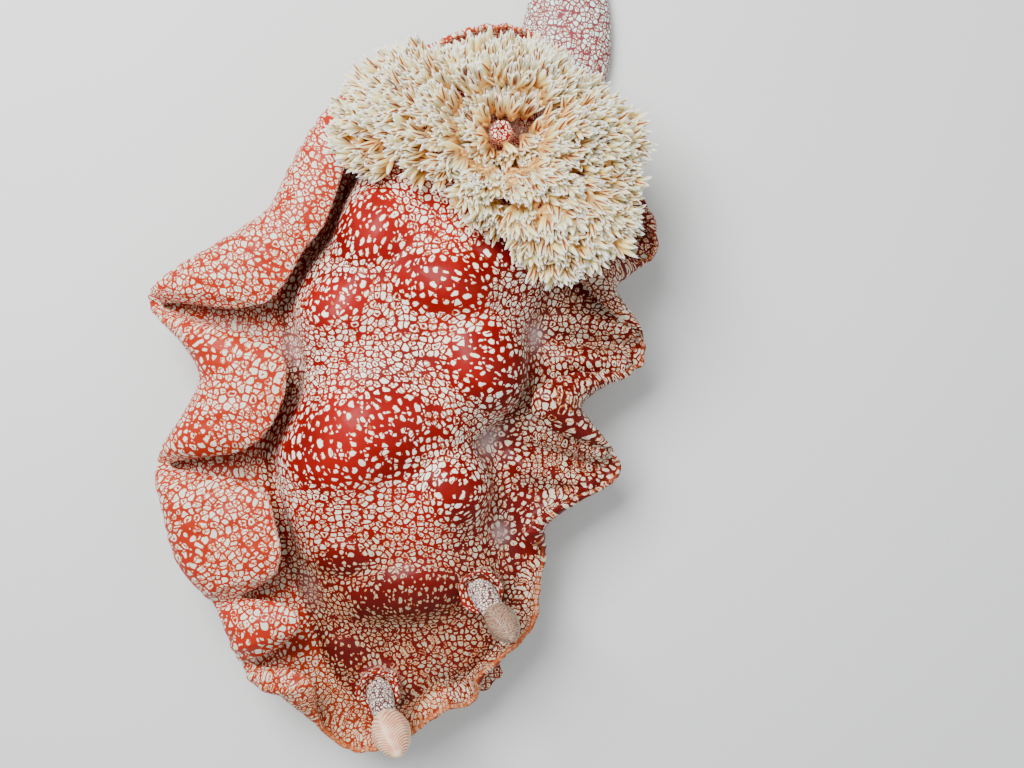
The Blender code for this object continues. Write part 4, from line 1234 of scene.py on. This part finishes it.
def make_rhinophore(word):
    """A stalk under a club, in rings square to its axis. The lamellae are ridges that slant to
    a V on the upper side, where a smooth rachis runs between them."""
    foot, tip, club = RHINOPHORES[word]
    foot = np.array(foot) - (0, 0, 2.5)
    tip = np.array(tip)
    share = np.concatenate([np.linspace(0, 0.4, 16), np.linspace(0.407, 1, 130)])
    up_club = np.clip((share - 1 + CLUB_SHARE) / CLUB_SHARE, 0, 1)
    swell = np.sin(math.pi * (0.16 + 0.84 * up_club)) ** 0.55
    neck = STALK_RADIUS * mix(1.05, 0.88, step(0, 0.4, share))
    radius = mix(neck, club * swell, step(0.37, 0.5, share))
    radius[-1] = 0.05
    turn = around(72)
    on_club = (step(0.42, 0.47, share) * (1 - step(0.96, 1, share)))[:, None]
    slant = LAMELLA_SLANT * (1 - np.abs(np.sin(turn / 2)))
    slant = slant * mix(0.4, 1, step(0.4, 0.7, share))[:, None]
    wave = np.cos((share[:, None] - slant) * 2 * math.pi * LAMELLAE / CLUB_SHARE)
    rachis = 1 - 0.7 * np.exp(-((np.sin(turn / 2) / 0.09) ** 2))
    depth = LAMELLA_DEPTH * on_club * rachis * (0.5 - 0.5 * wave)
    r = np.maximum(radius[:, None] * (1 + 0.02 * np.sin(2 * turn)) - depth, 0.03)
    lean = unit(tip - foot)
    # The stalk leaves its sheath upright and bends into the lean of the club.
    t = share[:, None]
    axis = foot + t * (tip - foot) + np.array((0, 0, 1.6)) * np.sin(math.pi * np.minimum(t * 1.6, 1))
    upper = unit(UP - lean[2] * lean)
    level = np.cross(lean, upper)
    base = step(0.3, 0, share)[:, None, None]
    tilt = np.cos(turn)[:, None] * mix(upper, -unit(lean * (1, 1, 0)), base)
    points = axis[:, None] + r[:, :, None] * (tilt + np.sin(turn)[:, None] * level)
    points, faces = capped(points)
    shade = np.zeros((len(share), len(turn), 4))
    shade[..., 0] = step(0.4, 0.46, share)[:, None]
    shade[..., 1] = mix(1, 0.5 + 0.5 * wave, on_club * rachis)
    shade[..., 2] = float(word == "left")
    shade[..., 3] = 1
    horn = new_mesh(f"horn_{word}", points, faces, {"leaf": shade.reshape(-1, 4)})
    close_mesh(horn, 0.001)
    horn.data.shade_smooth()
    return horn


def linear(hexcode):
    """An sRGB hex colour as linear red, green, blue and alpha."""
    values = [int(hexcode[i : i + 2], 16) / 255 for i in (1, 3, 5)]
    return (*(v / 12.92 if v <= 0.04045 else ((v + 0.055) / 1.055) ** 2.4 for v in values), 1)


def scale(size):
    """A pattern's scale from its real size in millimetres."""
    return 1 / (size * MM)


def fill(tree, socket, value):
    """Gives a socket a plain value, or a link from a socket or a node's first live output."""
    if isinstance(value, bpy.types.Node):
        value = next(out for out in value.outputs if out.enabled)
    if isinstance(value, bpy.types.NodeSocket):
        tree.links.new(value, socket)
    else:
        socket.default_value = value


def add(tree, kind, *values, named=(), **settings):
    """Adds a node with its settings, and fills its live sockets in order and those named."""
    node = tree.nodes.new("ShaderNode" + kind)
    for key, value in settings.items():
        setattr(node, key, value)
    for socket, value in zip([socket for socket in node.inputs if socket.enabled], values):
        fill(tree, socket, value)
    for key, value in dict(named).items():
        fill(tree, node.inputs[key], value)
    return node


# Settings that many nodes share.
COLOUR = {"data_type": "RGBA"}
SMOOTH = {"interpolation_type": "SMOOTHSTEP"}
TIMES = {"operation": "MULTIPLY"}
TIMES_PLUS = {"operation": "MULTIPLY_ADD"}
MINUS = {"operation": "SUBTRACT"}
LARGER = {"operation": "MAXIMUM"}
FLAT = {"voronoi_dimensions": "2D"}
BORDERS = {"feature": "DISTANCE_TO_EDGE"}


def start_material(name, values):
    """A new material with its tree and its surface, whose plain values are given by name."""
    material = bpy.data.materials.new(name)
    material.use_nodes = True
    surface = material.node_tree.nodes["Principled BSDF"]
    for key, value in values.items():
        fill(material.node_tree, surface.inputs[key], value)
    return material, material.node_tree, surface


def combine(tree, total, steps, how):
    """A value taken together with smooth steps of others, each from 0 at low to 1 at high."""
    for value, low, high in steps:
        total = add(tree, "Math", total, add(tree, "MapRange", value, low, high, **SMOOTH), **how)
    return total


def overlay(tree, colour, layers):
    """A colour under layers of others, each with a share that is a value times a weight."""
    for value, weight, over in layers:
        share = add(tree, "Math", value, weight, **TIMES)
        colour = add(tree, "Mix", share, colour, over, **COLOUR)
    return colour


def spot_layer(tree, where, gap, reach, whole):
    """How far inside a spot each place is, and its cell's random values. A spot is where its
    cell's border and the edge of a round dot are both far enough, less a speck in its middle."""
    cell = {"Vector": where, "Scale": scale(SPOTS_APART), "Randomness": 0.85}
    border = add(tree, "TexVoronoi", named=cell, **BORDERS, **FLAT)
    nearest = add(tree, "TexVoronoi", named=cell, **FLAT)
    chance = add(tree, "SeparateColor", nearest.outputs["Color"])
    inside = add(tree, "Math", border, gap, **MINUS)
    reach = add(tree, "Math", chance, -0.2, reach, **TIMES_PLUS)
    disc = add(tree, "Math", reach, nearest, **MINUS)
    disc = add(tree, "Math", disc, 0.8, **TIMES)
    inside = add(tree, "Math", inside, disc, 0.2, operation="SMOOTH_MIN")
    hole = add(tree, "Math", chance.outputs[2], 0.36, whole, **TIMES_PLUS)
    hole = add(tree, "Math", hole, border, **MINUS)
    return add(tree, "Math", inside, hole, operation="MINIMUM"), chance


def skin_material():
    """Wet mantle skin: deep red flesh under clear mucus, with opaque cream pigment spots.

    The spots are Voronoi cells on the skin laid flat, which the attribute hide holds; the borders
    make the red net. The cream shrinks to round dots, wide apart, where the skin is red, and many
    spots have a red speck in the middle or a crack, as in a ring or a clover leaf. The attribute
    zone says where the skin is red, frill, the frill's edge or the right side, and place says
    where it is forepart or painted crease shade, front of the frill, side of the body or pale
    crevice. The darker flesh and duller cream of the forepart and the left frill are partly painted
    shade, and the pale patch at the first crevice is also a painted sheen of mucus."""
    values = {"Roughness": 0.5, "IOR": 1.34, "Specular IOR Level": 0.22}
    values.update({"Coat Weight": 0.06, "Coat Roughness": 0.1})
    material, tree, surface = start_material("wet_mantle_skin", values)
    where = add(tree, "TexCoord").outputs["Object"]
    zone = add(tree, "Attribute", attribute_name="zone")
    bulge, frill, edge = add(tree, "SeparateColor", zone).outputs
    right = zone.outputs["Alpha"]
    place = add(tree, "Attribute", attribute_name="place")
    fore_and_crease_shade, front, body = add(tree, "SeparateColor", place).outputs
    hide = add(tree, "Attribute", attribute_name="hide").outputs["Vector"]
    # The cells are bent a little, so that the spots are uneven.
    wobble = add(tree, "TexNoise", where, scale(SPOT_WOBBLE), 1.0).outputs["Color"]
    centred = add(tree, "VectorMath", wobble, (0.5, 0.5, 0.5), **MINUS)
    bent = add(tree, "VectorMath", centred, (1.3 * MM, 1.3 * MM, 1.3 * MM), hide, **TIMES_PLUS)
    crowds = add(tree, "TexNoise", where, scale(SPOT_CROWDS), 1.0)
    # The width of the red net, the reach of a spot from its middle, and where its hole starts.
    limits = []
    for total, parts in (
        (0.055, ((crowds, 0.1), (bulge, 0.1), (fore_and_crease_shade, 0.05), (frill, 0.005))),
        (0.67, ((bulge, -0.28), (fore_and_crease_shade, -0.08), (frill, -0.02))),
        (0.29, ((bulge, 0.16),)),
    ):
        for value, weight in parts:
            total = add(tree, "Math", value, weight, total, **TIMES_PLUS)
        limits.append(total)
    inside, chance = spot_layer(tree, bent, *limits)
    spot = add(tree, "MapRange", inside, -0.045, 0.06, **SMOOTH)
    # Cracks run through the spots, but not through two in five of them and those on the bulges.
    crack = add(tree, "TexVoronoi", bent, scale(CRACKS_APART), **BORDERS, **FLAT)
    steps = (crack, 0.03, 0.22), (chance.outputs[1], 0.6, 0.66), (bulge, 0.45, 0.75)
    whole = add(tree, "Math", combine(tree, 0.0, steps, LARGER), 0.75, 0.25, **TIMES_PLUS)
    spot = add(tree, "Math", spot, whole, **TIMES)
    # Fine dots about 0.5 mm across lie between the spots on the red parts.
    dots = add(tree, "TexVoronoi", bent, scale(DOTS_APART), **FLAT)
    dot_chance = add(tree, "SeparateColor", dots.outputs["Color"])
    steps = (inside, -0.07, -0.12), (dot_chance, 0.8, 0.82), (dots, 0.38, 0.26)
    spot = add(tree, "Math", spot, combine(tree, 0.8, steps, TIMES), **LARGER)
    clouds = add(tree, "TexNoise", where, scale(RED_CLOUDS), 2.0)
    clouds = add(tree, "MapRange", clouds, 0.35, 0.65, **SMOOTH)
    red = add(tree, "Mix", clouds, linear("#6E0403"), linear("#960A05"), **COLOUR)
    # The left frill's flesh is far darker than the right's: partly its own maroon, partly painted shade
    # of the dimmer left side.
    frill_red = add(tree, "Mix", right, linear("#520705"), linear("#A82810"), **COLOUR)
    # The darkest red goes on the forepart, where it is partly painted shade, and along the crease, where
    # it is painted shade.
    front_red, body_pink, fore_and_shade_red = linear("#7A2A10"), linear("#7A4450"), linear("#3E0C07")
    layers = (frill, 0.85, frill_red), (front, 0.7, front_red), (body, 0.75, body_pink)
    flesh = overlay(tree, red, (*layers, (fore_and_crease_shade, 0.75, fore_and_shade_red)))
    # The cream is duller on the frill, most on the left, on the forepart and along the crease. Along the
    # crease this is painted shade; on the left frill and the forepart it is partly the cream's own tone
    # and partly painted shade of the dimmer left side and head end.
    left = add(tree, "Math", right, -0.2, 0.5, **TIMES_PLUS)
    left = add(tree, "Math", frill, left, **TIMES)
    dull_and_shade = add(tree, "Math", left, add(tree, "Math", fore_and_crease_shade, 0.85, **TIMES), **LARGER)
    cream = add(tree, "Mix", chance.outputs[1], linear("#FAFFF6"), linear("#F0F0DC"), **COLOUR)
    layers = (dull_and_shade, 1.0, linear("#8E886C")), (front, 0.55, linear("#C8A474"))
    cream = overlay(tree, cream, (*layers, (body, 1.0, linear("#CCFFF8"))))
    # A spot is tan at its rim.
    rim, core = (add(tree, "MapRange", spot, *ends, **SMOOTH) for ends in ((0.0, 0.55), (0.35, 0.95)))
    layers = (rim, 1.0, linear("#C8783C")), (core, 1.0, cream), (edge, 0.7, linear("#B45A28"))
    # Pale crevice skin on top, which at the first crevice is also a painted sheen of mucus.
    colour = overlay(tree, flesh, (*layers, (place.outputs["Alpha"], 0.75, linear("#A89494"))))
    fill(tree, surface.inputs["Base Color"], colour)
    grain = add(tree, "TexNoise", where, scale(SKIN_GRAIN), 2.0)
    bump = add(tree, "Bump", 0.7, 0.15 * MM, named={"Height": grain})
    fill(tree, surface.inputs["Normal"], bump)
    return material


def gill_material():
    """Soft gill tissue: translucent cream flesh, whiter to the tips, with a fine maroon vein on
    the midrib of most leaflets. The attribute leaf is described at leaflets()."""
    values = {"Roughness": 0.42, "IOR": 1.38, "Subsurface Weight": 0.6, "Subsurface Scale": 1.0}
    values["Subsurface Radius"] = (0.004, 0.0028, 0.0016)
    material, tree, surface = start_material("cream_gill_tissue", values)
    leaf = add(tree, "Attribute", attribute_name="leaf")
    along, rib, chance = add(tree, "SeparateColor", leaf).outputs
    flesh = linear("#F08C3C")
    for low, high, hexcode in ((0.0, 0.6, "#FFD07C"), (0.45, 0.9, "#FFF6C0"), (0.8, 1.0, "#FFFFF4")):
        share = add(tree, "MapRange", along, low, high, **SMOOTH)
        flesh = add(tree, "Mix", share, flesh, linear(hexcode), **COLOUR)
    steps = (rib, 0.76, 0.9), (along, 0.25, 0.4), (along, 0.96, 0.82), (chance, 0.4, 0.44)
    vein = combine(tree, 0.95, steps, TIMES)
    flesh = add(tree, "Mix", vein, flesh, linear("#7A0E06"), **COLOUR)
    fill(tree, surface.inputs["Base Color"], flesh)
    return material


def horn_material():
    """Rhinophore tissue: a whitish stalk with fine dark mottles, and a cream-pink ribbed club,
    which is dusky with fine specks on the left. leaf holds club, rib and left."""
    values = {"Roughness": 0.4, "IOR": 1.38, "Subsurface Weight": 0.2, "Subsurface Scale": 1.0}
    values["Subsurface Radius"] = (0.002, 0.001, 0.0007)
    material, tree, surface = start_material("ribbed_horn_tissue", values)
    where = add(tree, "TexCoord").outputs["Object"]
    leaf = add(tree, "Attribute", attribute_name="leaf")
    club, rib, left = add(tree, "SeparateColor", leaf).outputs
    net = add(tree, "TexVoronoi", where, scale(STALK_MOTTLES), **BORDERS)
    specks = add(tree, "TexVoronoi", where, scale(CLUB_SPECKS))
    clouds = add(tree, "TexNoise", where, scale(CLUB_CLOUDS), 2.0)
    coloured = []
    for value, low, high, first, second in (
        (net, 0.2, 0.08, "#F0E8DC", "#5A2E2C"),
        (specks, 0.55, 0.3, "#8E7A66", "#5E1E14"),
        (clouds, 0.35, 0.7, "#FFE6BE", "#F0B490"),
    ):
        share = add(tree, "MapRange", value, low, high, **SMOOTH)
        coloured.append(add(tree, "Mix", share, linear(first), linear(second), **COLOUR))
    stalk, dusky, ridge = coloured
    ribbed = add(tree, "Mix", rib, linear("#B8705A"), ridge, **COLOUR)
    ribbed = overlay(tree, ribbed, ((left, 0.88, dusky),))
    colour = add(tree, "Mix", club, stalk, ribbed, **COLOUR)
    fill(tree, surface.inputs["Base Color"], colour)
    return material


def set_stage():
    """A pale floor, a large soft key light, a fill and the camera."""
    corners = np.array(((-1, -1, 0), (1, -1, 0), (1, 1, 0), (-1, 1, 0))) * FLOOR_HALF
    floor = new_mesh("floor", corners, [(0, 1, 2, 3)])
    # Matt painted board, pale and even, so that the model's colours stand out.
    board, _tree, _surface = start_material(
        "pale_board", {"Base Color": linear("#D9DAD8"), "Roughness": 0.7}
    )
    floor.data.materials.append(board)
    for name, place, power, size in (
        ("key", (-220, 300, 560), 10.0, 0.4),
        ("fill", (560, -60, 560), 1.6, 0.6),
        ("rim", (60, -620, 420), 0.6, 0.5),
    ):
        lamp = bpy.data.lights.new(name, "AREA")
        lamp.energy = power
        lamp.size = size
        light = bpy.data.objects.new(name, lamp)
        bpy.context.scene.collection.objects.link(light)
        light.location = Vector(place) * MM
        toward = Vector((20, 20, 20)) * MM - light.location
        light.rotation_euler = toward.to_track_quat("-Z", "Y").to_euler()
    world = bpy.data.worlds.new("studio")
    world.use_nodes = True
    sky = world.node_tree.nodes["Background"]
    sky.inputs["Color"].default_value = linear("#E6EBF0")
    sky.inputs["Strength"].default_value = 0.55
    bpy.context.scene.world = world
    camera = bpy.data.cameras.new("camera")
    camera.lens = CAMERA_LENS
    camera.sensor_width = 36
    camera.clip_start = 0.01
    camera.clip_end = 10
    holder = bpy.data.objects.new("camera", camera)
    bpy.context.scene.collection.objects.link(holder)
    holder.location = Vector(CAMERA_PLACE) * MM
    bpy.context.scene.camera = holder


set_stage()
skin = make_skin()
skin.data.materials.clear()
skin.data.materials.append(skin_material())
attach(skin, "root")
flesh_nodes = [name for name in frame["nodes"] if not name.startswith(("gill", "rhinophore"))]
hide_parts(*flesh_nodes)

floor_heights = skin_floor(skin)
tissue = gill_material()
for number in range(len(GILLS)):
    plume = make_plume(number, floor_heights)
    plume.data.materials.append(tissue)
    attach(plume, "root")
    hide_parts(f"gill_{number + 1}")
horn_tissue = horn_material()
for word in RHINOPHORES:
    horn = make_rhinophore(word)
    horn.data.materials.append(horn_tissue)
    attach(horn, "root")
    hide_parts(f"rhinophore_{word}")
